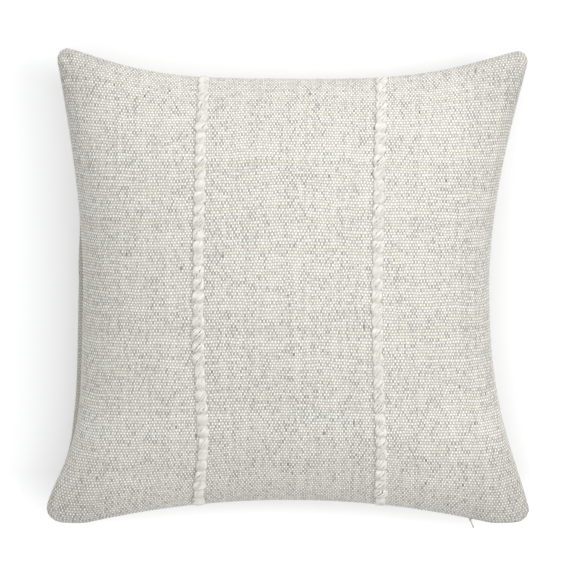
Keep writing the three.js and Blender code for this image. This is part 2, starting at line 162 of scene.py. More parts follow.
def ring_quads(outer: np.ndarray, inner: np.ndarray) -> np.ndarray:
    """Quads between two rings that have the same number of points."""
    return np.stack([outer, inner, np.roll(inner, -1), np.roll(outer, -1)], axis=-1)


def ring_triangles(
    outer: np.ndarray, outer_at: np.ndarray, inner: np.ndarray, inner_at: np.ndarray
) -> np.ndarray:
    """Triangles between two rings that have different numbers of points.

    Args:
        outer: the first ring's indices.
        outer_at: its places round the edge.
        inner: the second ring's indices.
        inner_at: its places round the edge.

    Returns:
        Index triples, wound as ring_quads winds its quads.
    """
    ends = (np.append(outer_at, 4.0), np.append(inner_at, 4.0))
    made = []
    i = j = 0
    while i < len(outer) or j < len(inner):
        a, b = outer[i % len(outer)], inner[j % len(inner)]
        if j >= len(inner) or (i < len(outer) and ends[0][i + 1] <= ends[1][j + 1]):
            made.append((a, b, outer[(i + 1) % len(outer)]))
            i += 1
        else:
            made.append((a, b, inner[(j + 1) % len(inner)]))
            j += 1
    return np.array(made)


def build_mesh(
    name: str, points: np.ndarray, faces: list[np.ndarray], uv: np.ndarray | None = None, flip: bool = False
) -> bpy.types.Object:
    """Makes a smooth-shaded mesh object.

    Args:
        name: the piece's name.
        points: one row of x, y and z for each vertex.
        faces: arrays of vertex indices, each with one polygon in a row.
        uv: a row of u and v for each vertex, kept as the UV map "thread".
        flip: whether to turn the faces round.

    Returns:
        The object, linked to the scene.
    """
    mesh = bpy.data.meshes.new(name)
    if flip:
        faces = [each[:, ::-1] for each in faces]
    corners = np.concatenate([each.ravel() for each in faces]).astype(np.int32)
    totals = np.concatenate([np.full(len(each), each.shape[1]) for each in faces]).astype(np.int32)
    starts = np.concatenate([[0], np.cumsum(totals)[:-1]]).astype(np.int32)
    mesh.vertices.add(len(points))
    mesh.vertices.foreach_set("co", points.astype(np.float32).ravel())
    mesh.loops.add(len(corners))
    mesh.loops.foreach_set("vertex_index", corners)
    mesh.polygons.add(len(totals))
    mesh.polygons.foreach_set("loop_start", starts)
    mesh.polygons.foreach_set("loop_total", totals)
    if uv is not None:
        layer = mesh.uv_layers.new(name="thread")
        layer.data.foreach_set("uv", uv[corners].astype(np.float32).ravel())
    mesh.update(calc_edges=True)
    mesh.shade_smooth()
    made = bpy.data.objects.new(name, mesh)
    bpy.context.scene.collection.objects.link(made)
    return made


def strands_curve(
    name: str, lines: list[np.ndarray], radii: list[np.ndarray], closed: bool = False
) -> bpy.types.Object:
    """Makes one curve object with a poly spline for each line of points."""
    curve = bpy.data.curves.new(name, "CURVE")
    curve.dimensions = "3D"
    for line, radius in zip(lines, radii):
        spline = curve.splines.new("POLY")
        spline.points.add(len(line) - 1)
        spline.points.foreach_set("co", np.c_[line, np.ones(len(line))].astype(np.float32).ravel())
        spline.points.foreach_set("radius", radius.astype(np.float32))
        spline.use_cyclic_u = closed
    made = bpy.data.objects.new(name, curve)
    bpy.context.scene.collection.objects.link(made)
    return made


def grid_uv(columns: np.ndarray, rows: np.ndarray, copies: int = 1) -> np.ndarray:
    """Rows of u and v for a grid of points, repeated for each copy of the grid."""
    u, v = np.meshgrid(columns, rows)
    return np.tile(np.stack([u.ravel(), v.ravel()], axis=-1), (copies, 1))


def shell_faces(rows: int, cols: int) -> list[np.ndarray]:
    """Faces of a closed shell whose outer grid of points is followed by its inner one."""
    ring, _ = ring_indices(rows, cols)
    size = rows * cols
    return [grid_quads(rows, cols), grid_quads(rows, cols, size)[:, ::-1], ring_quads(ring, ring + size)]


def hand_over(
    made: bpy.types.Object, node: str | None = None, finish: bpy.types.Material | None = None
) -> None:
    """Gives a finished piece to the frame.

    Args:
        made: the piece.
        node: the node that it replaces, if it replaces one.
        finish: its material, if it has none yet.
    """
    if finish is not None:
        made.data.materials.append(finish)
    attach(made, BODY)
    if node is not None:
        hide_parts(node)
    log.info("%s: %d faces", made.name, len(made.data.polygons))


# ------------------------------------------------------------------ node helpers
class Nodes:
    """A short way to build a node tree."""

    def __init__(self, tree: bpy.types.NodeTree) -> None:
        """Keeps the tree to build in."""
        self.tree = tree

    def add(self, kind: str, inputs: dict | None = None, **settings: object) -> bpy.types.Node:
        """Adds a node.

        Args:
            kind: the node's type name.
            inputs: values or sockets for its inputs, by name or number.
            **settings: its own properties.

        Returns:
            The node.
        """
        node = self.tree.nodes.new(kind)
        for key, value in settings.items():
            setattr(node, key, value)
        for key, value in (inputs or {}).items():
            self.put(node.inputs[key], value)
        return node

    def put(self, socket: bpy.types.NodeSocket, value: object) -> None:
        """Links a socket to an input, or sets the input's own value."""
        if isinstance(value, bpy.types.NodeSocket):
            self.tree.links.new(value, socket)
        else:
            socket.default_value = value

    def math(self, operation: str, *values: object) -> bpy.types.NodeSocket:
        """Adds a math node and returns its output."""
        return self.add("ShaderNodeMath", dict(enumerate(values)), operation=operation).outputs[0]

    def stretched(self, vector: object, scale: tuple, shift: float = 0.0) -> bpy.types.NodeSocket:
        """Scales a vector, moves it along its third axis and returns it."""
        inputs = {0: vector, 1: scale, 2: (0, 0, shift)}
        return self.add("ShaderNodeVectorMath", inputs, operation="MULTIPLY_ADD").outputs[0]

    def mix(self, share: object, first: object, second: object, blend: str = "MIX") -> bpy.types.NodeSocket:
        """Mixes two colours and returns the result."""
        node = self.add("ShaderNodeMix", data_type="RGBA", blend_type=blend)
        self.put(node.inputs[0], share)
        self.put(node.inputs[6], first)
        self.put(node.inputs[7], second)
        return node.outputs[2]

    def weigh(self, *pairs: tuple[object, float]) -> bpy.types.NodeSocket:
        """Adds up values, each times its own weight, and returns the sum."""
        total, *others = (self.math("MULTIPLY", value, weight) for value, weight in pairs)
        for other in others:
            total = self.math("ADD", total, other)
        return total

    def ramp(self, value: object, low: float, high: float, to_high: float = 1.0) -> bpy.types.NodeSocket:
        """Smoothly maps a value from the range low to high to the range 0 to to_high."""
        inputs = {"Value": value, "From Min": low, "From Max": high, "To Min": 0.0, "To Max": to_high}
        return self.add("ShaderNodeMapRange", inputs, interpolation_type="SMOOTHSTEP").outputs[0]

    def noise(self, vector: object, scale: float, detail: float, rough: float) -> bpy.types.NodeSocket:
        """Adds noise of about 0 to 1 and returns it."""
        inputs = {"Vector": vector, "Scale": scale, "Detail": detail, "Roughness": rough}
        return self.add("ShaderNodeTexNoise", inputs).outputs[0]


FLOAT, VECTOR, COLOR = "NodeSocketFloat", "NodeSocketVector", "NodeSocketColor"
INTEGER, MATERIAL = "NodeSocketInt", "NodeSocketMaterial"
NodeGroup = tuple[bpy.types.NodeTree, Nodes, bpy.types.Node, bpy.types.Node]


def new_group(name: str, inputs: dict[str, tuple[str, object]], outputs: dict[str, str]) -> NodeGroup:
    """Makes a shader node group.

    Args:
        name: the group's name.
        inputs: socket type and default for each input's name.
        outputs: socket type for each output's name.

    Returns:
        The group, its builder, and its input and output nodes.
    """
    group = bpy.data.node_groups.new(name, "ShaderNodeTree")
    for key, (kind, default) in inputs.items():
        socket = group.interface.new_socket(name=key, in_out="INPUT", socket_type=kind)
        if default is not None:
            socket.default_value = default
    for key, kind in outputs.items():
        group.interface.new_socket(name=key, in_out="OUTPUT", socket_type=kind)
    nodes = Nodes(group)
    return group, nodes, nodes.add("NodeGroupInput"), nodes.add("NodeGroupOutput")


def weave_group() -> bpy.types.NodeTree:
    """Builds the plain weave: where each thread lies on top, how its tone wanders, and painted shade between
    the threads.

    Returns:
        A group that reads a place counted in threads.
    """
    inputs = {
        "Thread Place": (VECTOR, None),
        "Warp Color": (COLOR, (0.9, 0.88, 0.84, 1)),
        "Weft Color": (COLOR, (0.6, 0.58, 0.54, 1)),
        "Gap Shade Color": (COLOR, (0.2, 0.18, 0.15, 1)),
        "Fleck Color": (COLOR, (0.3, 0.29, 0.27, 1)),
        "Heather": (FLOAT, 0.5),
        "Streak": (FLOAT, 0.1),
    }
    outputs = {"Color": COLOR, "Height": FLOAT}
    group, n, given, made = new_group("plain_weave", inputs, outputs)
    spot = given.outputs["Thread Place"]
    split = n.add("ShaderNodeSeparateXYZ", {0: spot})
    u, v = split.outputs[0], split.outputs[1]
    iu, iv = n.math("FLOOR", u), n.math("FLOOR", v)
    fu = n.math("SUBTRACT", n.math("SUBTRACT", u, iu), 0.5)
    fv = n.math("SUBTRACT", n.math("SUBTRACT", v, iv), 0.5)
    parity = n.math("FLOORED_MODULO", n.math("ADD", iu, iv), 2.0)
    warp_up = n.math("SUBTRACT", 1.0, parity)

    def oval(wide: float, tall: float) -> bpy.types.NodeSocket:
        x, y = n.math("DIVIDE", fu, wide), n.math("DIVIDE", fv, tall)
        return n.math("SQRT", n.math("ADD", n.math("MULTIPLY", x, x), n.math("MULTIPLY", y, y)))

    warp_dot = n.math("MULTIPLY", n.ramp(oval(0.54, 0.66), 1.1, 0.4), warp_up)
    weft_dot = n.math("MULTIPLY", n.ramp(oval(0.90, 0.56), 1.15, 0.2), parity)

    cell = n.add("ShaderNodeCombineXYZ", {0: iu, 1: iv, 2: 3.5}).outputs[0]
    each_node = n.add("ShaderNodeTexWhiteNoise", {"Vector": cell}, noise_dimensions="3D")
    each = each_node.outputs[0]
    other = n.add("ShaderNodeSeparateColor", {0: each_node.outputs[1]}).outputs[1]
    warp_thread, weft_thread = (
        n.add("ShaderNodeTexWhiteNoise", {"W": thread}, noise_dimensions="1D").outputs[0]
        for thread in (iu, n.math("ADD", iv, 900.5))
    )
    along_warp = n.noise(n.stretched(spot, (1.0, 0.09, 1.0), 2.0), 0.9, 3.0, 0.6)
    along_weft = n.noise(n.stretched(spot, (0.07, 1.0, 1.0), 7.0), 0.9, 3.0, 0.6)
    cloud = n.noise(n.stretched(spot, (0.055, 0.095, 1.0), 11.0), 1.0, 4.0, 0.62)

    def centred(value: object) -> bpy.types.NodeSocket:
        return n.math("SUBTRACT", value, 0.5)

    # Grey fibre is spun in unevenly, in clouds and along single threads, and shows most in the weft.
    uneven = n.weigh((along_warp, 0.35), (along_weft, 0.65))
    grey = n.weigh((uneven, 0.9), (cloud, 0.7), (centred(each), 0.95))
    on_weft = n.math("SUBTRACT", 1.0, n.math("MULTIPLY", warp_dot, 0.72))
    heathered = n.math("MULTIPLY", n.ramp(grey, 0.84, 1.26), given.outputs["Heather"])
    fleck = n.math("MULTIPLY", heathered, on_weft)
    speck = n.math("GREATER_THAN", n.math("ADD", each, n.math("MULTIPLY", cloud, 0.004)), 1.0012)

    streak = n.math("ADD", centred(warp_thread), centred(weft_thread))
    streak = n.math("ADD", streak, n.math("MULTIPLY", centred(uneven), 2.2))
    streak = n.math("ADD", streak, n.math("MULTIPLY", centred(other), 0.9))
    tone = n.math("ADD", 1.0, n.math("MULTIPLY", streak, given.outputs["Streak"]))
    tint = n.weigh((weft_thread, 0.25), (along_weft, 0.75))
    warm = n.mix(n.ramp(tint, 0.25, 0.75), (1.0, 0.985, 0.955, 1), (0.98, 0.99, 1.0, 1))
    toned = n.add("ShaderNodeCombineColor", {0: tone, 1: tone, 2: tone}).outputs[0]

    # Between the threads the colour falls to the gap colour, painted shade in the hollows of the weave.
    base = n.mix(weft_dot, given.outputs["Gap Shade Color"], given.outputs["Weft Color"])
    base = n.mix(warp_dot, base, given.outputs["Warp Color"])
    base = n.mix(fleck, base, given.outputs["Fleck Color"])
    base = n.mix(1.0, base, warm, "MULTIPLY")
    base = n.mix(1.0, base, toned, "MULTIPLY")
    base = n.mix(n.math("MULTIPLY", speck, 0.7), base, (0.09, 0.075, 0.06, 1))
    fibre = n.noise(n.stretched(spot, (3.0, 1.2, 1.0), 5.0), 2.4, 3.0, 0.7)
    n.put(made.inputs["Color"], base)
    n.put(made.inputs["Height"], n.weigh((warp_dot, 1.0), (weft_dot, 0.7), (fibre, 0.5)))
    return group


def yarn_group() -> bpy.types.NodeTree:
    """Builds the look of spun yarn: fibres that wind round it, uneven tone, and painted shade in the grooves
    of its twist.

    Returns:
        A group that reads a place along and round the yarn.
    """
    inputs = {
        "Yarn Place": (VECTOR, None),
        "Base Color": (COLOR, (0.85, 0.83, 0.8, 1)),
        "Shade Color": (COLOR, (0.6, 0.58, 0.54, 1)),
        "Twist": (FLOAT, 300.0),
        "Unevenness": (FLOAT, 0.4),
    }
    group, n, given, made = new_group("spun_yarn", inputs, {"Color": COLOR, "Height": FLOAT})
    split = n.add("ShaderNodeSeparateXYZ", {0: given.outputs["Yarn Place"]})
    along, around = split.outputs[0], split.outputs[1]
    turns = n.math("ADD", n.math("MULTIPLY", along, given.outputs["Twist"]), around)
    ply = n.math("MULTIPLY_ADD", n.math("SINE", n.math("MULTIPLY", turns, math.tau)), 0.5, 0.5)
    fibre = n.noise(n.stretched(given.outputs["Yarn Place"], (900.0, 7.0, 3.0)), 1.0, 3.0, 0.65)
    # Painted shade: the grooves of the twist take the shade colour, mixed with random fibre tone.
    tone = n.ramp(n.weigh((ply, 0.35), (fibre, 0.65)), 0.25, 0.7)
    share = n.math("MULTIPLY", n.math("SUBTRACT", 1.0, tone), given.outputs["Unevenness"])
    n.put(made.inputs["Color"], n.mix(share, given.outputs["Base Color"], given.outputs["Shade Color"]))
    n.put(made.inputs["Height"], n.weigh((ply, 0.6), (fibre, 0.6)))
    return group


def wear_group() -> bpy.types.NodeTree:
    """Builds handling wear: cloudy tarnish and fine scratches over a hard piece.

    Returns:
        A group that reads Object coordinates.
    """
    inputs = {
        "Place": (VECTOR, None),
        "Base Color": (COLOR, (0.6, 0.58, 0.52, 1)),
        "Worn Color": (COLOR, (0.8, 0.78, 0.72, 1)),
        "Roughness": (FLOAT, 0.4),
    }
    outputs = {"Color": COLOR, "Roughness": FLOAT, "Height": FLOAT}
    group, n, given, made = new_group("handled_wear", inputs, outputs)
    cloud = n.noise(given.outputs["Place"], 420.0, 4.0, 0.6)
    fine = n.noise(given.outputs["Place"], 4200.0, 2.0, 0.7)
    worn = n.ramp(n.weigh((cloud, 0.7), (fine, 0.3)), 0.42, 0.66)
    n.put(made.inputs["Color"], n.mix(worn, given.outputs["Base Color"], given.outputs["Worn Color"]))
    n.put(made.inputs["Roughness"], n.math("MULTIPLY_ADD", worn, -0.14, given.outputs["Roughness"]))
    n.put(made.inputs["Height"], n.weigh((cloud, 0.4), (fine, 0.6)))
    return group


# ------------------------------------------------------------------ finishes
Color = tuple[float, float, float, float]
Surface = tuple[bpy.types.Material, Nodes, bpy.types.Node]


@dataclass(frozen=True)
class Finish:
    """What every finish has."""

    name: str
    roughness: float = 0.9
    bump: float = 0.3
    bump_distance: float = 0.0003

    def surface(self, sheen: float = 0.0, metallic: float = 0.0) -> Surface:
        """Makes a material with one Principled BSDF.

        Args:
            sheen: its sheen weight.
            metallic: how metallic it is.

        Returns:
            The material, its node builder and the shader.
        """
        material = bpy.data.materials.new(self.name)
        material.use_nodes = True
        nodes = Nodes(material.node_tree)
        shader = material.node_tree.nodes["Principled BSDF"]
        shader.inputs["Roughness"].default_value = self.roughness
        shader.inputs["Sheen Weight"].default_value = sheen
        shader.inputs["Sheen Roughness"].default_value = 0.5
        shader.inputs["Metallic"].default_value = metallic
        return material, nodes, shader

    def raise_by(self, nodes: Nodes, shader: bpy.types.Node, height: bpy.types.NodeSocket) -> None:
        """Feeds a height to the shader's normal."""
        inputs = {"Strength": self.bump, "Distance": self.bump_distance, "Height": height}
        nodes.put(shader.inputs["Normal"], nodes.add("ShaderNodeBump", inputs).outputs[0])

    def group(self, nodes: Nodes, tree: bpy.types.NodeTree, inputs: dict) -> bpy.types.Node:
        """Places a shader node group in the material."""
        node = nodes.add("ShaderNodeGroup", node_tree=tree)
        for key, value in inputs.items():
            nodes.put(node.inputs[key], value)
        return node


@dataclass(frozen=True)
class WovenFinish(Finish):
    """Cloth in plain weave, read from the UV map that counts threads."""

    warp: Color = (0.87, 0.85, 0.80, 1)
    weft: Color = (0.585, 0.57, 0.53, 1)
    # The gap colour is painted shade in the hollows between threads.
    gap: Color = (0.31, 0.295, 0.265, 1)
    fleck: Color = (0.25, 0.245, 0.24, 1)
    heather: float = 0.75
    streak: float = 0.1
    # Painted shade towards the corners: its strength, and the spread over which it fades in.
    corner_shade: float = 0.0
    corner_shade_from: float = 0.028
    corner_shade_to: float = 0.052

    def make(self, weave: bpy.types.NodeTree) -> bpy.types.Material:
        """Returns the material."""
        material, n, shader = self.surface(sheen=0.12)
        place = n.add("ShaderNodeUVMap", uv_map="thread").outputs[0]
        inputs = {
            "Thread Place": place,
            "Warp Color": self.warp,
            "Weft Color": self.weft,
            "Gap Shade Color": self.gap,
            "Fleck Color": self.fleck,
            "Heather": self.heather,
            "Streak": self.streak,
        }
        group = self.group(n, weave, inputs)
        color = group.outputs["Color"]
        if self.corner_shade > 0.0:
            # Painted shade: the cloth is darkened a little towards the four corners, where less light reaches
            # it.
            spot = n.add("ShaderNodeSeparateXYZ", {0: n.add("ShaderNodeTexCoord").outputs["Object"]})
            corner = n.math("ABSOLUTE", n.math("MULTIPLY", spot.outputs[0], spot.outputs[1]))
            share = n.ramp(corner, self.corner_shade_from, self.corner_shade_to, self.corner_shade)
            color = n.mix(share, color, (0.0, 0.0, 0.0, 1))
        n.put(shader.inputs["Base Color"], color)
        self.raise_by(n, shader, group.outputs["Height"])
        return material


@dataclass(frozen=True)
class YarnFinish(Finish):
    """Yarn or thread, read from the attribute that its sweep leaves."""

    base: Color = (0.74, 0.725, 0.685, 1)
    shade: Color = (0.44, 0.42, 0.37, 1)
    twist: float = 180.0
    unevenness: float = 0.5

    def make(self, yarn: bpy.types.NodeTree) -> bpy.types.Material:
        """Returns the material."""
        material, n, shader = self.surface(sheen=0.15)
        place = n.add("ShaderNodeAttribute", attribute_name="yarn").outputs["Vector"]
        inputs = {
            "Yarn Place": place,
            "Base Color": self.base,
            "Shade Color": self.shade,
            "Twist": self.twist,
            "Unevenness": self.unevenness,
        }
        group = self.group(n, yarn, inputs)
        n.put(shader.inputs["Base Color"], group.outputs["Color"])
        self.raise_by(n, shader, group.outputs["Height"])
        return material


@dataclass(frozen=True)
class HardFinish(Finish):
    """Metal or nylon with handling wear."""

    base: Color = (0.30, 0.295, 0.265, 1)
    worn: Color = (0.46, 0.455, 0.42, 1)
    metallic: float = 0.0

    def make(self, wear: bpy.types.NodeTree) -> bpy.types.Material:
        """Returns the material."""
        material, n, shader = self.surface(metallic=self.metallic)
        place = n.add("ShaderNodeTexCoord").outputs["Object"]
        inputs = {
            "Place": place,
            "Base Color": self.base,
            "Worn Color": self.worn,
            "Roughness": self.roughness,
        }
        group = self.group(n, wear, inputs)
        n.put(shader.inputs["Base Color"], group.outputs["Color"])
        n.put(shader.inputs["Roughness"], group.outputs["Roughness"])
        self.raise_by(n, shader, group.outputs["Height"])
        return material


@dataclass
class Finishes:
    """Every finish of the pillow, made once."""

    cloth: bpy.types.Material = field(init=False)
    shaded_back_cloth: bpy.types.Material = field(init=False)
    roving: bpy.types.Material = field(init=False)
    tie: bpy.types.Material = field(init=False)
    thread: bpy.types.Material = field(init=False)
    cotton: bpy.types.Material = field(init=False)
    fibre: bpy.types.Material = field(init=False)
    tape: bpy.types.Material = field(init=False)
    nylon: bpy.types.Material = field(init=False)
    metal: bpy.types.Material = field(init=False)

    def __post_init__(self) -> None:
        """Makes the groups and then the materials."""
        weave, yarn, wear = weave_group(), yarn_group(), wear_group()
        # The front cloth darkens towards its corners as painted shade.
        self.cloth = WovenFinish("handwoven_wool", corner_shade=0.15).make(weave)
        # Painted shade: the back panel's cloth is a darker olive copy of the front's, standing in for the
        # shade on the pillow's underside.
        shaded_olive = {"warp": (0.64, 0.62, 0.55, 1), "weft": (0.41, 0.395, 0.34, 1), "gap": (0.2, 0.19, 0.15, 1)}
        self.shaded_back_cloth = WovenFinish("handwoven_wool_back_painted_shade", **shaded_olive).make(weave)
        self.roving = YarnFinish("wool_roving", bump=0.5, twist=70.0).make(yarn)
        tie = {"base": (0.72, 0.68, 0.60, 1), "shade": (0.45, 0.42, 0.36, 1)}
        self.tie = YarnFinish("tie_yarn", **tie).make(yarn)
        self.thread = YarnFinish("sewing_thread", base=(0.72, 0.69, 0.62, 1), twist=900.0).make(yarn)
        white = {"warp": (0.86, 0.85, 0.82, 1), "weft": (0.8, 0.79, 0.76, 1), "gap": (0.5, 0.49, 0.46, 1)}
        self.cotton = WovenFinish("casing_cotton", streak=0.02, heather=0.0, **white).make(weave)
        self.fibre = WovenFinish("filling_fibre", bump=1.0, streak=0.2, heather=0.0, **white).make(weave)
        twill = {"warp": (0.7, 0.67, 0.6, 1), "weft": (0.6, 0.57, 0.5, 1)}
        self.tape = WovenFinish("zip_tape_twill", heather=0.1, **twill).make(weave)
        self.nylon = HardFinish("zip_nylon", roughness=0.45, base=(0.62, 0.59, 0.52, 1)).make(wear)
        paint = {"base": (0.27, 0.275, 0.245, 1), "worn": (0.33, 0.33, 0.30, 1)}
        self.metal = HardFinish("zip_metal", roughness=0.5, metallic=0.2, **paint).make(wear)


# ------------------------------------------------------------------ geometry node trees
def new_tree(name: str, inputs: dict[str, str]) -> NodeGroup:
    """Makes a geometry node tree that takes and gives a geometry.

    Args:
        name: the tree's name.
        inputs: socket type for each other input's name.

    Returns:
        The tree, its builder, and its input and output nodes.
    """
    tree = bpy.data.node_groups.new(name, "GeometryNodeTree")
    for key, kind in {"Geometry": "NodeSocketGeometry", **inputs}.items():
        tree.interface.new_socket(name=key, in_out="INPUT", socket_type=kind)
    tree.interface.new_socket(name="Geometry", in_out="OUTPUT", socket_type="NodeSocketGeometry")
    nodes = Nodes(tree)
    return tree, nodes, nodes.add("NodeGroupInput"), nodes.add("NodeGroupOutput")


def stored(n: Nodes, geometry: object, name: str, value: object, kind: str = "FLOAT") -> bpy.types.NodeSocket:
    """Stores a value on a geometry's points and returns the geometry."""
    inputs = {"Geometry": geometry, "Name": name}
    node = n.add("GeometryNodeStoreNamedAttribute", inputs, data_type=kind, domain="POINT")
    n.put(node.inputs["Value"], value)
    return node.outputs[0]


def uneven_size(n: Nodes, given: bpy.types.Node, which: object = None) -> bpy.types.NodeSocket:
    """Returns a random size of about 1 for each spline or point."""
    inputs = {"Seed": given.outputs["Seed"]}
    if which is not None:
        inputs["ID"] = which
    random = n.add("FunctionNodeRandomValue", inputs, data_type="FLOAT")
    n.put(random.inputs[2], n.math("SUBTRACT", 1.0, given.outputs["Unevenness"]))
    n.put(random.inputs[3], n.math("ADD", 1.0, given.outputs["Unevenness"]))
    return random.outputs[1]


def finish_tree(n: Nodes, given: bpy.types.Node, made: bpy.types.Node, geometry: object) -> None:
    """Ends a tree: real geometry with smooth faces and its finish."""
    real = n.add("GeometryNodeRealizeInstances", {"Geometry": geometry})
    smooth = n.add("GeometryNodeSetShadeSmooth", {"Geometry": real.outputs[0]})
    inputs = {"Geometry": smooth.outputs[0], "Material": given.outputs["Finish"]}
    n.put(made.inputs[0], n.add("GeometryNodeSetMaterial", inputs).outputs[0])


def sweep_tree() -> bpy.types.NodeTree:
    """Builds the tree that sweeps a round section along every spline of a curve.

    Returns:
        A tree with inputs Radius, Sides, Unevenness, Seed and Finish. It leaves the place along and
        round each strand in the attribute "yarn".
    """
    inputs = {"Radius": FLOAT, "Sides": INTEGER, "Unevenness": FLOAT, "Seed": INTEGER, "Finish": MATERIAL}
    tree, n, given, made = new_tree("sweep_yarn", inputs)
    spline = n.add("GeometryNodeInputIndex").outputs[0]
    radius = n.add("GeometryNodeInputRadius").outputs[0]
    size = n.math("MULTIPLY", radius, uneven_size(n, given, spline))
    inputs = {"Curve": given.outputs["Geometry"], "Radius": size}
    sized = n.add("GeometryNodeSetCurveRadius", inputs).outputs[0]
    marked = stored(n, sized, "run", n.add("GeometryNodeSplineParameter").outputs["Length"])
    inputs = {"Resolution": given.outputs["Sides"], "Radius": given.outputs["Radius"]}
    section = n.add("GeometryNodeCurvePrimitiveCircle", inputs).outputs[0]
    around = stored(n, section, "turn", n.add("GeometryNodeSplineParameter").outputs["Factor"])
    swept = n.add("GeometryNodeCurveToMesh", {"Curve": marked, "Profile Curve": around, "Fill Caps": True})
    if "Scale" in swept.inputs:
        n.put(swept.inputs["Scale"], n.add("GeometryNodeInputRadius").outputs[0])
    run, turn = (
        n.add("GeometryNodeInputNamedAttribute", {"Name": name}, data_type="FLOAT").outputs[0]
        for name in ("run", "turn")
    )
    place = n.add("ShaderNodeCombineXYZ", {0: run, 1: turn}).outputs[0]
    finish_tree(n, given, made, stored(n, swept.outputs[0], "yarn", place, "FLOAT_VECTOR"))
    return tree


def repeat_tree() -> bpy.types.NodeTree:
    """Builds the tree that repeats one piece along a curve.

    Returns:
        A tree with inputs Unit, Count, Unevenness, Seed and Finish.
    """
    kinds = {"Unit": "NodeSocketObject", "Count": INTEGER, "Unevenness": FLOAT}
    tree, n, given, made = new_tree("repeat_along", kinds | {"Seed": INTEGER, "Finish": MATERIAL})
    inputs = {"Curve": given.outputs["Geometry"], "Count": given.outputs["Count"]}
    points = n.add("GeometryNodeCurveToPoints", inputs, mode="COUNT")
    unit = n.add("GeometryNodeObjectInfo", {"Object": given.outputs["Unit"]})
    inputs = {
        "Points": points.outputs[0],
        "Instance": unit.outputs["Geometry"],
        "Rotation": points.outputs["Rotation"],
        "Scale": uneven_size(n, given),
    }
    finish_tree(n, given, made, n.add("GeometryNodeInstanceOnPoints", inputs).outputs[0])
    return tree


def grown(
    source: bpy.types.Object, tree: bpy.types.NodeTree, inputs: dict[str, object], name: str
) -> bpy.types.Object:
    """Runs a geometry node tree on an object and keeps the result as a plain mesh.

    Args:
        source: the object to run it on, which is then removed.
        tree: the tree.
        inputs: values for its named inputs.
        name: the new piece's name.

    Returns:
        The new mesh object.
    """
    modifier = source.modifiers.new("grow", "NODES")
    modifier.node_group = tree
    for socket in tree.interface.items_tree:
        if socket.item_type == "SOCKET" and socket.in_out == "INPUT" and socket.name in inputs:
            modifier[socket.identifier] = inputs[socket.name]
    source.update_tag()
    bpy.context.view_layer.update()
    evaluated = source.evaluated_get(bpy.context.evaluated_depsgraph_get())
    mesh = bpy.data.meshes.new_from_object(evaluated, preserve_all_data_layers=True)
    source.modifiers.remove(modifier)
    data = source.data
    bpy.data.objects.remove(source)
    if isinstance(data, bpy.types.Curve):
        bpy.data.curves.remove(data)
    mesh.name = name
    made = bpy.data.objects.new(name, mesh)
    bpy.context.scene.collection.objects.link(made)
    return made


# ------------------------------------------------------------------ the pillow's form
@dataclass(frozen=True)
class DrawnSide:
    """How far the filling draws a side in: its depth at mid side, and the two powers of each half's curve."""

    depth: float
    reach: tuple[float, float]
    ease: tuple[float, float]

    def at(self, along: np.ndarray) -> np.ndarray:
        """Returns the depth at places from -1 to 1 along the side."""
        reach, ease = (np.where(along < 0, *pair) for pair in (self.reach, self.ease))
        return self.depth * np.clip(1.0 - np.abs(along) ** reach, 0.0, 1.0) ** ease


@dataclass(frozen=True)
class ZipArc:
    """The zipped side, a true arc that the slider follows."""

    radius: float = 937.952 * MM
    centre_y: float = -1160.752 * MM
    half_angle: float = 0.211951
    end_x: float = 205.31 * MM

    def reach(self, x: np.ndarray, half_width: float, half_depth: float) -> np.ndarray:
        """How far the side lies from the middle.

        Args:
            x: places along the side.
            half_width: where its corners are.
            half_depth: how far its corners lie from the middle.

        Returns:
            The distance from the middle at each place.
        """
        off = np.abs(x)
        arc = -(self.centre_y + np.sqrt(self.radius**2 - np.minimum(off, self.end_x) ** 2))
        span = half_width - self.end_x
        share = np.clip((off - self.end_x) / span, 0.0, 1.0)
        slope = self.end_x / math.sqrt(self.radius**2 - self.end_x**2)
        left = half_depth + self.centre_y + math.sqrt(self.radius**2 - self.end_x**2)
        fade = 2 * share**3 - 3 * share**2 + 1
        eased = half_depth - left * fade + slope * span * share * (1 - share) ** 2
        return np.where(off <= self.end_x, arc, eased)

    def at(self, angle: np.ndarray, depth: float, height: np.ndarray | float) -> np.ndarray:
        """Points beside the zip, at a depth in from the seam's edge and a height."""
        reach = self.radius + depth
        high = np.broadcast_to(height, np.shape(angle))
        return np.stack([reach * np.sin(angle), self.centre_y + reach * np.cos(angle), high], axis=-1)


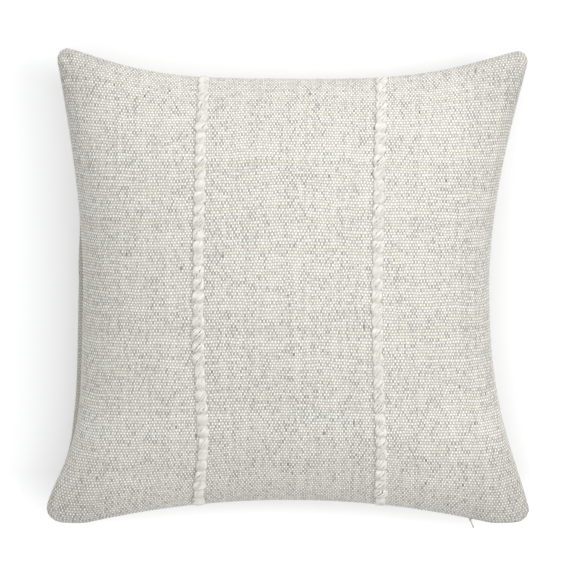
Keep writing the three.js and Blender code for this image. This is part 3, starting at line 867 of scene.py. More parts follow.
@dataclass(frozen=True)
class PillowForm:
    """The filled pillow's outline and its two crowned faces, at rest on its back."""

    half_width: float = 252.8 * MM
    half_depth: float = 248.8 * MM
    seam_height: float = 72 * MM
    front_crown: float = 93 * MM
    back_crown: float = 88 * MM
    fullness: float = 0.55
    back_rounding: float = 1.5
    corner_radius: float = 17 * MM
    left: DrawnSide = DrawnSide(34.5 * MM, (6.0, 1.55), (3.0, 1.05))
    right: DrawnSide = DrawnSide(43.5 * MM, (2.5, 1.8), (1.4, 1.15))
    far: DrawnSide = DrawnSide(32.5 * MM, (3.8, 3.2), (1.6, 1.45))
    zip_arc: ZipArc = ZipArc()
    near_corner_in: float = 3.5 * MM
    far_left_in: float = 10 * MM
    far_right_in: float = 1 * MM
    far_right_down: float = 3 * MM
    lip_gap: float = 0.9 * MM
    seam_gap: float = 0.3 * MM
    change: float = 20 * MM
    back_bulge: float = 8 * MM
    bulge_depth: float = 20 * MM

    def halves(self, a: np.ndarray, b: np.ndarray) -> tuple[np.ndarray, ...]:
        """Distances from the middle to the left, right, zipped and far sides."""
        up = (b + 1.0) / 2.0
        left = self.half_width - self.far_left_in * up - self.left.at(b)
        right = self.half_width - self.far_right_in * up - self.right.at(b)
        near = self.zip_arc.reach(a * self.half_width, self.half_width, self.half_depth - self.near_corner_in)
        far = self.half_depth + 0.5 * MM - self.far_right_down * (a + 1.0) / 2.0 - self.far.at(a)
        return left, right, near, far

    def plan(self, a: np.ndarray, b: np.ndarray, inset: np.ndarray | float = 0.0) -> np.ndarray:
        """Plan places.

        Args:
            a: places across, from -1 at the left side to 1 at the right.
            b: places along, from -1 at the zipped side to 1 at the far side.
            inset: how far the edge is drawn in.

        Returns:
            x and y for each place.
        """
        a, b = self.rounded(a, b)
        left, right, near, far = self.halves(a, b)
        x = (right - left) / 2.0 + a * ((right + left) / 2.0 - inset)
        y = (far - near) / 2.0 + b * ((far + near) / 2.0 - inset)
        return np.stack([x, y], axis=-1)

    def rounded(self, a: np.ndarray, b: np.ndarray) -> tuple[np.ndarray, np.ndarray]:
        """Moves places near a corner so that the corner of the square becomes a round one."""
        wide, deep = self.corner_radius / self.half_width, self.corner_radius / self.half_depth
        p = np.clip((np.abs(a) - 1.0) / wide + 1.0, 0.0, 1.0)
        q = np.clip((np.abs(b) - 1.0) / deep + 1.0, 0.0, 1.0)
        near_both = np.minimum(p, q) > 0.0
        share = np.where(near_both, np.maximum(p, q) / np.maximum(np.hypot(p, q), 1e-9), 1.0)
        return a - np.sign(a) * wide * p * (1.0 - share), b - np.sign(b) * deep * q * (1.0 - share)

    def zip_share(self, a: np.ndarray, b: np.ndarray) -> np.ndarray:
        """1 along the zip and 0 elsewhere on the edge."""
        past = (np.abs(a * self.half_width) - self.zip_arc.end_x) / self.change
        return (1.0 - smooth_step(past)) * smooth_step(-5.0 * b - 4.0)

    def gap(self, a: np.ndarray, b: np.ndarray) -> np.ndarray:
        """Half the gap between the two panels at the edge."""
        return self.seam_gap + (self.lip_gap - self.seam_gap) * self.zip_share(a, b)

    def point(self, face: Face, a: np.ndarray, b: np.ndarray) -> np.ndarray:
        """Points on a face of the pillow.

        Args:
            face: which face.
            a: places across, from -1 to 1.
            b: places along, from -1 to 1.

        Returns:
            x, y and z for each place.
        """
        rise = (np.clip(1.0 - a**2, 0, 1) * np.clip(1.0 - b**2, 0, 1)) ** self.fullness
        plan = self.plan(a, b)
        base = self.gap(a, b)
        if face is Face.FRONT:
            lift = base * (1 - rise) ** 12 + self.front_crown * rise
        else:
            share = 1 - (1 - np.clip(rise * self.back_crown / self.seam_height, 0, 1)) ** self.back_rounding
            lift = -(base * (1 - share) ** 12 + self.seam_height * share)
            # The back stands out a little past the seam on the left.
            drop = np.clip(-lift / self.bulge_depth, 0, None)
            hump = drop * np.exp(1.0 - drop)
            reach = smooth_step((0.6 - np.abs(b + 0.24)) / 0.3)
            plan = plan - np.stack([self.back_bulge * hump * reach * (a < 0), 0 * a], axis=-1)
        return np.concatenate([plan, (self.seam_height + lift)[..., None]], axis=-1)

    def flat_grid(self, face: Face, count: int) -> np.ndarray:
        """Lays an evenly spaced grid of the flat cloth over a face.

        The places are moved until the lengths along every row and column are even.

        Args:
            face: which face.
            count: grid lines each way.

        Returns:
            The grid's points, (count, count, 3).
        """
        fine = np.sin(np.linspace(-0.5, 0.5, 241) * math.pi)
        target = np.linspace(-1, 1, count)
        start = np.sin(target * math.pi / 2 * 0.98)
        a, b = np.meshgrid(start, start)
        for _ in range(8):
            new_a, new_b = np.empty_like(a), np.empty_like(b)
            for i in range(count):
                row = np.interp(fine, a[i], b[i])
                new_a[i] = self.even(face, fine, row, target, True)
                col = np.interp(fine, b[:, i], a[:, i])
                new_b[:, i] = self.even(face, fine, col, target, False)
            a, b = new_a, new_b
            a[:, 0], a[:, -1], b[0], b[-1] = -1, 1, -1, 1
        return self.point(face, a, b)

    def even(
        self, face: Face, run: np.ndarray, other: np.ndarray, target: np.ndarray, is_row: bool
    ) -> np.ndarray:
        """Places along one grid line at which its length is evenly shared."""
        a, b = (run, other) if is_row else (other, run)
        points = self.point(face, a, b)
        steps = np.linalg.norm(np.diff(points, axis=0), axis=1)
        length = np.concatenate([[0], np.cumsum(steps)])
        return np.interp((target + 1) / 2 * length[-1], length, run)


@dataclass
class Drape:
    """The cloth simulation that eases both panels over the filling."""

    form: PillowForm
    lines: int = 81
    cut: float = 506 * MM
    frames: int = 24
    pressure: float = 3.0
    most_move: float = 9 * MM
    seed: int = 5
    faces: dict[Face, np.ndarray] = field(default_factory=dict)

    def run(self) -> None:
        """Lays both faces out and simulates them."""
        for face in Face:
            self.faces[face] = self.form.flat_grid(face, self.lines)
        log.info("laid out both faces on %d lines", self.lines)
        self.simulate()

    def simulate(self) -> None:
        """Runs the simulation on one closed mesh and reads both faces back."""
        n = self.lines
        inner = np.arange(n * n).reshape(n, n)[1:-1, 1:-1].ravel()
        rng = np.random.default_rng(self.seed)
        front, back = (self.faces[face].reshape(-1, 3).copy() for face in Face)
        start_front, start_back = front.copy(), back.copy()
        bumps = noise_field(rng, n, n, 9).ravel() + 0.6 * noise_field(rng, n, n, 17).ravel()
        front[inner, 2] += 0.8 * MM * bumps[inner]
        ids = np.arange(n * n)
        back_ids = ids.copy()
        back_ids[inner] = n * n + np.arange(len(inner))
        quads = grid_quads(n, n)
        points = np.concatenate([front, back[inner]])
        edge = np.setdiff1d(ids, inner)
        points[edge, 2] = self.form.seam_height
        solid = build_mesh("drape", points, [quads, back_ids[quads][:, ::-1]])
        flat = np.linspace(-self.cut / 2, self.cut / 2, n)
        x, y = np.meshgrid(flat, flat)
        rest = np.stack([x.ravel(), y.ravel(), np.full(n * n, self.form.seam_height)], axis=-1)
        rest_all = np.concatenate([rest + [0, 0, 1e-4], rest[inner] - [0, 0, 1e-4]])
        solid.shape_key_add(name="filled")
        key = solid.shape_key_add(name="flat")
        key.data.foreach_set("co", rest_all.astype(np.float32).ravel())
        pinned = solid.vertex_groups.new(name="seam")
        pinned.add([int(i) for i in edge], 1.0, "REPLACE")
        cloth = solid.modifiers.new("cloth", "CLOTH")
        s = cloth.settings
        s.quality = 6
        s.mass = 0.35
        s.tension_stiffness = s.compression_stiffness = 22
        s.shear_stiffness = 9
        s.bending_stiffness = 6
        s.tension_damping = s.compression_damping = s.shear_damping = 12
        s.air_damping = 3
        s.vertex_group_mass = "seam"
        s.rest_shape_key = key
        s.use_pressure = True
        s.uniform_pressure_force = self.pressure
        s.effector_weights.gravity = 0.0
        cloth.collision_settings.use_collision = False
        scene = bpy.context.scene
        cloth.point_cache.frame_start, cloth.point_cache.frame_end = 1, self.frames
        for at in range(1, self.frames + 1):
            scene.frame_set(at)
        evaluated = solid.evaluated_get(bpy.context.evaluated_depsgraph_get())
        moved = np.empty(len(points) * 3, np.float32)
        evaluated.data.vertices.foreach_get("co", moved)
        moved = moved.reshape(-1, 3).astype(float)
        scene.frame_set(1)
        mesh = solid.data
        bpy.data.objects.remove(solid)
        bpy.data.meshes.remove(mesh)
        self.faces[Face.FRONT] = self.settle(start_front, moved[ids], inner)
        self.faces[Face.BACK] = self.settle(start_back, moved[back_ids], inner)
        log.info("simulated %d frames", self.frames)

    def settle(self, start: np.ndarray, moved: np.ndarray, inner: np.ndarray) -> np.ndarray:
        """Caps how far points have moved, and keeps the back on the surface it lies on."""
        n = self.lines
        step = np.zeros_like(start)
        step[inner] = moved[inner] - start[inner]
        size = np.linalg.norm(step, axis=1, keepdims=True)
        log.info("moved %.1f mm on average and %.1f mm at most", size.mean() / MM, size.max() / MM)
        step *= self.most_move / (self.most_move + size)
        grid = step.reshape(n, n, 3)
        for _ in range(2):
            middle = grid[1:-1, 1:-1]
            around = (grid[:-2, 1:-1] + grid[2:, 1:-1] + grid[1:-1, :-2] + grid[1:-1, 2:]) / 4
            grid[1:-1, 1:-1] = 0.5 * middle + 0.5 * around
        settled = start.reshape(n, n, 3) + grid
        settled[..., 2] = np.maximum(settled[..., 2], 0.45 * MM)
        return settled

    def read(self, face: Face, s: np.ndarray, t: np.ndarray) -> np.ndarray:
        """Smooth points over a face at every pairing of flat places across (s) and along (t)."""
        grid = self.faces[face]
        over, across = spline_weights(t, self.lines), spline_weights(s, self.lines)
        return np.einsum("rk,klc,sl->rsc", over, grid, across, optimize=True)


# ------------------------------------------------------------------ the cover
@dataclass
class Cover:
    """The handwoven cover's two panels, as woven shells with turned seam edges."""

    form: PillowForm
    drape: Drape
    finishes: Finishes
    warps: int = 290
    picks: int = 168
    cloth: float = 1.8 * MM
    allowance: float = 12 * MM
    lip: float = 3 * MM
    lip_top: float = 5.3 * MM
    lip_step: float = 4.0 * MM
    shelf: float = 4.95 * MM
    corner_press: float = 0.12
    seed: int = 11

    def relief(self) -> np.ndarray:
        """Heights of the plain weave on a grid of two points to each thread, each way."""
        rng = np.random.default_rng(self.seed)
        warp_size = 1.0 + 0.22 * rng.standard_normal(self.warps)
        weft_size = 1.0 + 0.25 * rng.standard_normal(self.picks)
        cols, rows = 2 * self.warps + 1, 2 * self.picks + 1
        high = np.full((rows, cols), -0.25)
        iu, iv = np.meshgrid(np.arange(self.warps), np.arange(self.picks))
        warp_up = (iu + iv) % 2 == 0
        centre = np.where(warp_up, 0.47 * warp_size[iu], 0.20 * weft_size[iv])
        centre += 0.06 * rng.standard_normal(centre.shape)
        high[1::2, 1::2] = centre
        high[2:-1:2, 1::2] = 0.04
        high[1::2, 2:-1:2] = -0.08
        fade_u = smooth_step(np.minimum(np.arange(cols), np.arange(cols)[::-1]) / 5.0)
        fade_v = smooth_step(np.minimum(np.arange(rows), np.arange(rows)[::-1]) / 4.0)
        return high * MM * fade_v[:, None] * fade_u[None, :]

    def wander(self, points: np.ndarray, face: Face) -> np.ndarray:
        """How far the hand-beaten threads stray from their even places, within the cloth."""
        rng = np.random.default_rng(self.seed + 7 * face.value)
        rows, cols = points.shape[:2]
        shift = np.zeros_like(points)
        for axis in (0, 1):
            way = np.gradient(points, axis=axis)
            way /= np.maximum(np.linalg.norm(way, axis=2, keepdims=True), 1e-12)
            amount = sum(
                size * noise_field(rng, rows, cols, cells)
                for cells, size in ((14, 0.9 * MM), (45, 0.5 * MM), (110, 0.32 * MM))
            )
            shift += way * amount[..., None]
        edge_u = np.minimum(np.arange(cols), np.arange(cols)[::-1]) / 24.0
        edge_v = np.minimum(np.arange(rows), np.arange(rows)[::-1]) / 16.0
        return shift * (smooth_step(edge_v)[:, None] * smooth_step(edge_u)[None, :])[..., None]

    def rim(self, face: Face, places: np.ndarray) -> list[np.ndarray]:
        """Rings of the turned edge, from just inside the seam to the panel's inner face."""
        a, b = self.edge_places(face, places)
        zipped = self.form.zip_share(a, b)
        low = self.form.gap(a, b)

        def blend(sewn: float, at_zip: float) -> np.ndarray:
            return sewn + (at_zip - sewn) * zipped

        turn, reach = blend(self.allowance - 1 * MM, self.lip), blend(self.allowance, self.shelf)
        step, top = blend(0.3 * MM, self.lip_step), self.inner_lift(a, b)
        rings = []
        for inset, lift in ((turn, low), (turn, step), (reach, step), (reach, top), (self.cloth, top)):
            plan = self.form.plan(a, b, inset)
            rings.append(np.c_[plan, self.form.seam_height + face.value * np.broadcast_to(lift, a.shape)])
        return rings

    def inner_lift(self, a: np.ndarray, b: np.ndarray) -> np.ndarray:
        """The inner face's height over the seam plane at the edge, pressed thin at the corners."""
        thick = self.cloth * (0.1 + 0.9 * smooth_step((1.0 - np.abs(a * b)) / self.corner_press))
        return 0.3 * MM + thick + (self.lip_top - 0.3 * MM - thick) * self.form.zip_share(a, b)

    def edge_places(self, face: Face, places: np.ndarray) -> tuple[np.ndarray, np.ndarray]:
        """Places on the form's outline that share the length of each side evenly."""
        s, t = ring_at(places)
        fine = np.linspace(-1, 1, 401)
        a, b = s.copy(), t.copy()
        for side, (fixed, is_row) in enumerate(((-1, True), (1, False), (1, True), (-1, False))):
            on = places.astype(int) == side
            run = s[on] if is_row else t[on]
            even = self.form.even(face, fine, np.full_like(fine, fixed), run, is_row)
            if is_row:
                a[on] = even
            else:
                b[on] = even
        return a, b

    def panel(self, face: Face, name: str) -> bpy.types.Object:
        """Builds one panel as a closed shell with its weave raised on the outside."""
        cols, rows = 2 * self.warps + 1, 2 * self.picks + 1
        s, t = np.linspace(-1, 1, cols), np.linspace(-1, 1, rows)
        smooth = self.drape.read(face, s, t)
        normals = grid_normals(smooth) * face.value
        smooth = smooth + self.wander(smooth, face)
        outer = smooth + normals * self.relief()[..., None]
        if face is Face.BACK:
            outer[..., 2] = np.maximum(outer[..., 2], 0.0)
        ring, ring_place = ring_indices(rows, cols)
        rings = self.rim(face, ring_place)
        n = self.drape.lines
        coarse = self.drape.faces[face]
        inner = coarse - grid_normals(coarse) * face.value * self.cloth
        a, b = self.edge_places(face, ring_indices(n, n)[1])
        edge_plan = self.form.plan(a, b, self.cloth)
        inner_ring, inner_place = ring_indices(n, n)
        lift = self.inner_lift(a, b)
        inner.reshape(-1, 3)[inner_ring] = np.c_[edge_plan, self.form.seam_height + face.value * lift]
        points = [outer.reshape(-1, 3), *rings, inner.reshape(-1, 3)]
        uv = grid_uv(np.linspace(0, self.warps, cols), np.linspace(0, self.picks, rows))
        inner_uv = grid_uv(np.linspace(0, self.warps, n), np.linspace(0, self.picks, n))
        uvs = [uv, *[uv[ring]] * len(rings), inner_uv]
        faces = [grid_quads(rows, cols)]
        first = rows * cols
        last = ring
        for _ in rings:
            now = first + np.arange(len(ring))
            faces.append(ring_quads(last, now))
            last, first = now, first + len(ring)
        # The last rim ring and the inner face's own edge lie on each other.
        faces.append(ring_triangles(last, ring_place, first + inner_ring, inner_place))
        faces.append(grid_quads(n, n, first)[:, ::-1])
        shift = np.array([0.0, 0.0]) if face is Face.FRONT else np.array([400.0, 300.0])
        uv = np.concatenate(uvs) + shift
        return build_mesh(name, np.concatenate(points), faces, uv, flip=face is Face.BACK)

    def build(self) -> None:
        """Makes the panels and gives them to the frame."""
        for face, word, finish in (
            (Face.FRONT, "front", self.finishes.cloth),
            (Face.BACK, "back", self.finishes.shaded_back_cloth),
        # The back panel gets the darker copy of the cloth, painted shade for its underside.
        ):
            panel = self.panel(face, f"woven_{word}_panel")
            hand_over(panel, f"cover_{word}_panel", finish)


@dataclass
class RovingStripe:
    """A bundle of roving that lies along the front, pinched by a tie at every puff."""

    drape: Drape
    finishes: Finishes
    sweep: bpy.types.NodeTree
    place: float
    seed: int
    half_width: float = 6.1 * MM
    height: float = 4.6 * MM
    puff_length: float = 12.7 * MM
    strands: int = 18
    twist: float = 2.2
    strand_radius: float = 0.74 * MM
    tie_radius: float = 0.42 * MM
    pinch: float = 0.52
    end_sink: float = 0.6 * MM
    samples: int = 9

    def frame_along(self, count: int) -> tuple[np.ndarray, np.ndarray, np.ndarray, np.ndarray]:
        """Centre line, sideways and upward directions, and length so far, at evenly spaced places."""
        t = np.linspace(-1.0, 1.0, 1201)
        step = 0.004
        s = np.array([self.place - step, self.place, self.place + step])
        patch = self.drape.read(Face.FRONT, s, t)
        line = patch[:, 1]
        sideways = patch[:, 2] - patch[:, 0]
        sideways /= np.linalg.norm(sideways, axis=1, keepdims=True)
        ahead = np.gradient(line, axis=0)
        ahead /= np.linalg.norm(ahead, axis=1, keepdims=True)
        up = np.cross(sideways, ahead)
        up /= np.linalg.norm(up, axis=1, keepdims=True)
        length = np.concatenate([[0], np.cumsum(np.linalg.norm(np.diff(line, axis=0), axis=1))])
        target = np.linspace(0, length[-1], count)

        def read(values: np.ndarray) -> np.ndarray:
            return np.stack([np.interp(target, length, values[:, k]) for k in range(3)], axis=-1)

        return read(line), read(sideways), read(up), target

    def build(self, name: str, node: str) -> None:
        """Makes the bundle and its ties, and gives them to the frame."""
        total = self.frame_along(3)[3][-1]
        puffs = round(total / self.puff_length)
        count = puffs * self.samples + 1
        line, sideways, up, _ = self.frame_along(count)
        rng = np.random.default_rng(self.seed)
        phase = np.arange(count) / self.samples
        puff = np.minimum(phase.astype(int), puffs - 1)
        swell = np.abs(np.sin(math.pi * phase)) ** 0.62
        size = 1.0 + 0.10 * rng.standard_normal(puffs)[puff] * swell
        width = (self.pinch + (1 - self.pinch) * swell) * size
        rise = (0.34 + 0.66 * swell) * size
        ends = smooth_step(np.minimum(np.arange(count), np.arange(count)[::-1]) / (1.2 * self.samples))
        knots = np.arange(0, puffs + 3, 2.5)
        lean = 0.5 * MM * np.interp(phase, knots, rng.standard_normal(len(knots)))
        lines, radii = [], []

        def add(off: np.ndarray, high: np.ndarray, least: float, size: np.ndarray) -> None:
            high = np.maximum(high, least) * ends - self.end_sink * (1 - ends)
            lines.append(line + sideways * off[:, None] + up * high[:, None])
            radii.append(size * (0.55 + 0.45 * ends))

        for k in range(self.strands):
            sway = np.interp(phase, np.arange(puffs + 1), rng.standard_normal(puffs + 1))
            puffed = rng.standard_normal(puffs)[puff] * swell
            turn = math.tau * k / self.strands - self.twist * phase + 0.10 * sway + 0.09 * puffed
            off = np.cos(turn) * width * (self.half_width - self.strand_radius) + lean
            high = rise * self.height * (0.5 + 0.5 * np.sin(turn)) - self.strand_radius * 0.6
            high += 0.25 * MM * rng.standard_normal(puffs)[puff] * swell
            add(off, high, 0.35 * MM, 0.86 + 0.20 * swell)
        # Three strands lie underneath and fill the bundle.
        for q in (-0.62, 0.0, 0.62):
            off = q * width * self.half_width * 0.8 + lean
            add(off, rise * self.height * (0.5 - 0.25 * abs(q)), 0.2 * MM, 0.9 + 1.3 * swell)
        curve = strands_curve(name, lines, radii)
        inputs = {"Radius": self.strand_radius, "Sides": 7, "Unevenness": 0.06, "Seed": self.seed}
        inputs["Finish"] = self.finishes.roving
        hand_over(grown(curve, self.sweep, inputs, name), node)
        self.ties(name, (line, sideways, up), puffs, rng, lean)

    def ties(
        self,
        name: str,
        frames: tuple[np.ndarray, np.ndarray, np.ndarray],
        puffs: int,
        rng: np.random.Generator,
        lean: np.ndarray,
    ) -> None:
        """Lays a pair of weft yarns over the bundle at every pinch.

        Args:
            name: the bundle's name.
            frames: the bundle's line, and its sideways and upward directions along it.
            puffs: how many puffs the bundle has.
            rng: the bundle's random numbers.
            lean: how far the bundle sways sideways along its line.
        """
        line, sideways, up = frames
        lines, radii = [], []
        turn = np.linspace(-0.5, 0.5, 11) * math.pi
        for at in range(1, puffs):
            i = at * self.samples
            ahead = np.cross(up[i], sideways[i])
            for side in (-0.45, 0.5):
                wide = self.half_width * self.pinch * rng.uniform(1.0, 1.2) + 0.7 * MM
                tall = self.height * 0.44 + 0.35 * MM
                shift = side * 2.1 * self.tie_radius + rng.normal(0, 0.12 * MM)
                off = wide * np.sin(turn) + lean[i]
                high = tall * np.cos(turn) ** 0.7 - 0.3 * MM
                slant = 0.25 * MM * rng.standard_normal() * np.sin(turn)
                spots = line[i] + sideways[i] * off[:, None] + up[i] * high[:, None]
                lines.append(spots - ahead * (shift + slant)[:, None])
                radii.append(np.full(len(turn), 1.0) * rng.uniform(0.85, 1.15))
        curve = strands_curve(name + "_ties", lines, radii)
        inputs = {"Radius": self.tie_radius, "Sides": 6, "Unevenness": 0.05, "Seed": self.seed + 1}
        inputs["Finish"] = self.finishes.tie
        hand_over(grown(curve, self.sweep, inputs, name + "_ties"))


# ------------------------------------------------------------------ threads, zip and insert
def tube(path: np.ndarray, radius: float, sides: int) -> tuple[np.ndarray, list[np.ndarray]]:
    """A round tube along a short path, with both ends closed.

    Args:
        path: the points that it follows.
        radius: its radius.
        sides: how many sides it has.

    Returns:
        Its points and faces.
    """
    ahead = np.gradient(path, axis=0)
    ahead /= np.linalg.norm(ahead, axis=1, keepdims=True)
    first = np.cross(ahead, np.array([0.31, 0.95, 0.05]))
    first /= np.linalg.norm(first, axis=1, keepdims=True)
    second = np.cross(ahead, first)
    turn = np.linspace(0, math.tau, sides, endpoint=False)
    rings = path[:, None] + radius * (
        np.cos(turn)[None, :, None] * first[:, None] + np.sin(turn)[None, :, None] * second[:, None]
    )
    at = np.arange(len(path) * sides).reshape(len(path), sides)
    walls = [ring_quads(at[i], at[i + 1]) [:, ::-1] for i in range(len(path) - 1)]
    return rings.reshape(-1, 3), [*walls, at[:1, ::-1], at[-1:]]


@dataclass
class Stitching:
    """Sewing and overlocking threads, as units repeated along the seams."""

    form: PillowForm
    finishes: Finishes
    repeat: bpy.types.NodeTree
    allowance: float = 12 * MM
    cloth: float = 1.8 * MM
    seam_line: float = 6 * MM
    insert_inset: float = 16 * MM
    stitch: float = 3.2 * MM
    thread_radius: float = 0.3 * MM
    stitch_dip: float = 0.28 * MM
    edge_gap: float = 0.3 * MM
    proud: float = 0.7 * MM
    loop_radius: float = 0.62 * MM
    loop_thread: float = 0.17 * MM
    loop_slant: float = 1.4 * MM
    loop_pitch: float = 1.9 * MM
    loop_reach: float = 1.1 * MM
    loops_from: float = 1.02
    loops_to: float = 3.98
    tape_line: float = 6.45 * MM
    tape_lift: float = 4.65 * MM
    zip_end: float = 0.145

    def stitch_unit(self) -> bpy.types.Object:
        """One lockstitch: a thread that rises from the cloth and dives back into it."""
        z = np.linspace(-0.5, 0.5, 6) * self.stitch * 0.92
        dip = -self.stitch_dip * (2 * np.abs(z) / self.stitch) ** 3
        path = np.stack([dip, 0 * z, z], axis=-1)
        points, faces = tube(path, self.thread_radius, 6)
        return build_mesh("stitch_unit", points, faces)

    def overlock_unit(self) -> bpy.types.Object:
        """One overlock loop, slanting over the raw edge."""
        turn = np.linspace(0.06, 0.94, 9) * math.tau
        x, y = self.loop_radius * np.cos(turn), self.loop_radius * np.sin(turn)
        path = np.stack([x, y, self.loop_slant * (turn / math.tau - 0.5)], axis=-1)
        points, faces = tube(path, self.loop_thread, 4)
        return build_mesh("overlock_unit", points, faces)

    def around(self, low: float, high: float, inset: float, lift: float, count: int = 900) -> np.ndarray:
        """Points beside the pillow's edge between two places round it, from 0 to 4."""
        a, b = ring_at(np.linspace(low, high, count) % 4.0)
        return np.c_[self.form.plan(a, b, inset), np.full(count, self.form.seam_height + lift)]

    def lay(
        self,
        name: str,
        node: str,
        line: np.ndarray,
        unit: bpy.types.Object,
        pitch: float,
        closed: bool = False,
    ) -> None:
        """Repeats a unit along a line and gives the result to the frame.

        Args:
            name: the new piece's name.
            node: the frame's node that it replaces.
            line: the points to repeat along.
            unit: the piece to repeat.
            pitch: how far apart the copies lie.
            closed: whether the line's end joins its start.
        """
        run = np.concatenate([line, line[:1]]) if closed else line
        length = np.linalg.norm(np.diff(run, axis=0), axis=1).sum()
        curve = strands_curve(name, [line], [np.ones(len(line))], closed)
        inputs = {"Unit": unit, "Count": round(length / pitch), "Unevenness": 0.05, "Seed": 3}
        inputs["Finish"] = self.finishes.thread
        hand_over(grown(curve, self.repeat, inputs, name), node)

    def build(self) -> None:
        """Makes every thread."""
        stitch, loop = self.stitch_unit(), self.overlock_unit()
        seam_lift = self.edge_gap + self.cloth + self.proud
        edge = self.allowance + self.loop_reach
        loop_lift = self.edge_gap + self.cloth / 2
        sewn = self.around(1.0 - self.zip_end, 4.0 + self.zip_end, self.seam_line, seam_lift)
        self.lay("seam_stitches", "seam_thread", sewn, stitch, self.stitch)
        for sign, word in ((1, "front"), (-1, "back")):
            line = self.around(self.loops_from, self.loops_to, edge, sign * loop_lift)
            self.lay(f"overlock_{word}", f"overlock_thread_{word}", line, loop, self.loop_pitch)
            arc = self.form.zip_arc
            turn = np.linspace(-arc.half_angle, arc.half_angle, 300)
            along = arc.at(turn, self.tape_line, self.form.seam_height + sign * self.tape_lift)
            self.lay(f"zip_stitches_{word}", f"zip_thread_{word}", along, stitch, self.stitch)
        ring = self.around(0.0, 4.0, self.insert_inset - self.proud, 0.0, 1201)[:-1]
        self.lay("insert_stitches", "insert_seam_thread", ring, stitch, self.stitch, closed=True)
        for unit in (stitch, loop):
            bpy.data.objects.remove(unit)


@dataclass
class ZipFastener:
    """The hidden zip: tapes and coils on the pillow, and the slider and pull on their own bodies."""

    form: PillowForm
    finishes: Finishes
    repeat: bpy.types.NodeTree
    centre: float = 5.5 * MM
    tape: float = 0.5 * MM
    tape_low: float = 2.9 * MM
    tape_high: float = 8.1 * MM
    rib: float = 0.05 * MM
    rib_lift: float = 0.06 * MM
    coil_low: float = 0.6 * MM
    coil_high: float = 2.5 * MM
    coil_depth: float = 0.9 * MM
    coil_radius: float = 0.32 * MM
    tooth_pitch: float = 1.35 * MM
    end_clear: float = 4.6 * MM

    def tape_strip(self, sign: int, name: str, node: str) -> None:
        """Makes one ribbed tape that follows the arc."""
        arc = self.form.zip_arc
        steps, rows = 520, 9
        turn = np.linspace(-arc.half_angle, arc.half_angle, steps)
        up = self.form.seam_height + sign * np.linspace(self.tape_low, self.tape_high, rows)
        along, across = (np.cos(np.arange(count) * math.pi) for count in (steps, rows))
        rib = self.rib * along[None, :] * across[:, None]
        rib[[0, -1]] = 0
        rib[:, [0, -1]] = 0
        sheets = []
        for depth, out in ((self.centre - self.tape / 2, 1), (self.centre + self.tape / 2, -1)):
            base = np.stack([arc.at(turn, depth, z) for z in up])
            reach = np.stack([np.sin(turn), np.cos(turn), 0 * turn], axis=-1)
            sheets.append(base + reach[None] * (out * rib + out * self.rib_lift * (rib != 0))[..., None])
        points = np.concatenate([sheet.reshape(-1, 3) for sheet in sheets])
        uv = grid_uv(np.arange(steps) * 0.8, np.arange(rows) * 0.8, 2)
        made = build_mesh(name, points, shell_faces(rows, steps), uv, flip=sign < 0)
        hand_over(made, node, self.finishes.tape)

    def coil(self, sign: int, name: str, node: str) -> None:
        """Makes one row of coil loops along the arc."""
        arc = self.form.zip_arc
        middle = (self.coil_low + self.coil_high) / 2
        turn = np.linspace(0, 1, 10)
        tall = (self.coil_high - self.coil_low) / 2 - self.coil_radius
        deep = self.coil_depth - self.coil_radius
        angle = turn * math.tau * 0.94 + 0.2
        ahead = (turn - 0.5) * self.tooth_pitch * 0.55
        path = np.stack([tall * np.cos(angle), deep * np.sin(angle), ahead], axis=-1)
        points, faces = tube(path, self.coil_radius, 5)
        unit = build_mesh("coil_unit", points, faces)
        end = arc.half_angle - self.end_clear / arc.radius
        places = np.linspace(-end, end, 400)
        line = arc.at(places, self.centre, self.form.seam_height + sign * middle)
        length = 2 * end * arc.radius
        curve = strands_curve(name, [line], [np.ones(len(line))])
        for spline in curve.data.splines:
            spline.points.foreach_set("tilt", np.zeros(len(line), np.float32))
        curve.data.twist_mode = "Z_UP"
        inputs = {"Unit": unit, "Count": round(length / self.tooth_pitch), "Unevenness": 0.0, "Seed": 1}
        inputs["Finish"] = self.finishes.nylon
        made = grown(curve, self.repeat, inputs, name)
        bpy.data.objects.remove(unit)
        hand_over(made, node)

    def build(self) -> None:
        """Makes the tapes and coils, and dresses the metal pieces that the frame holds."""
        for sign, word in ((1, "front"), (-1, "back")):
            self.tape_strip(sign, f"zip_ribbed_tape_{word}", f"zip_tape_{word}")
            self.coil(sign, f"zip_coil_loops_{word}", f"zip_coil_{word}")
        for node in ("zip_top_stop_front", "zip_top_stop_back", "zip_bottom_stop", "zip_slider", "zip_pull"):
            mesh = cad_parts[node].data
            mesh.materials.clear()
            mesh.materials.append(self.finishes.metal)


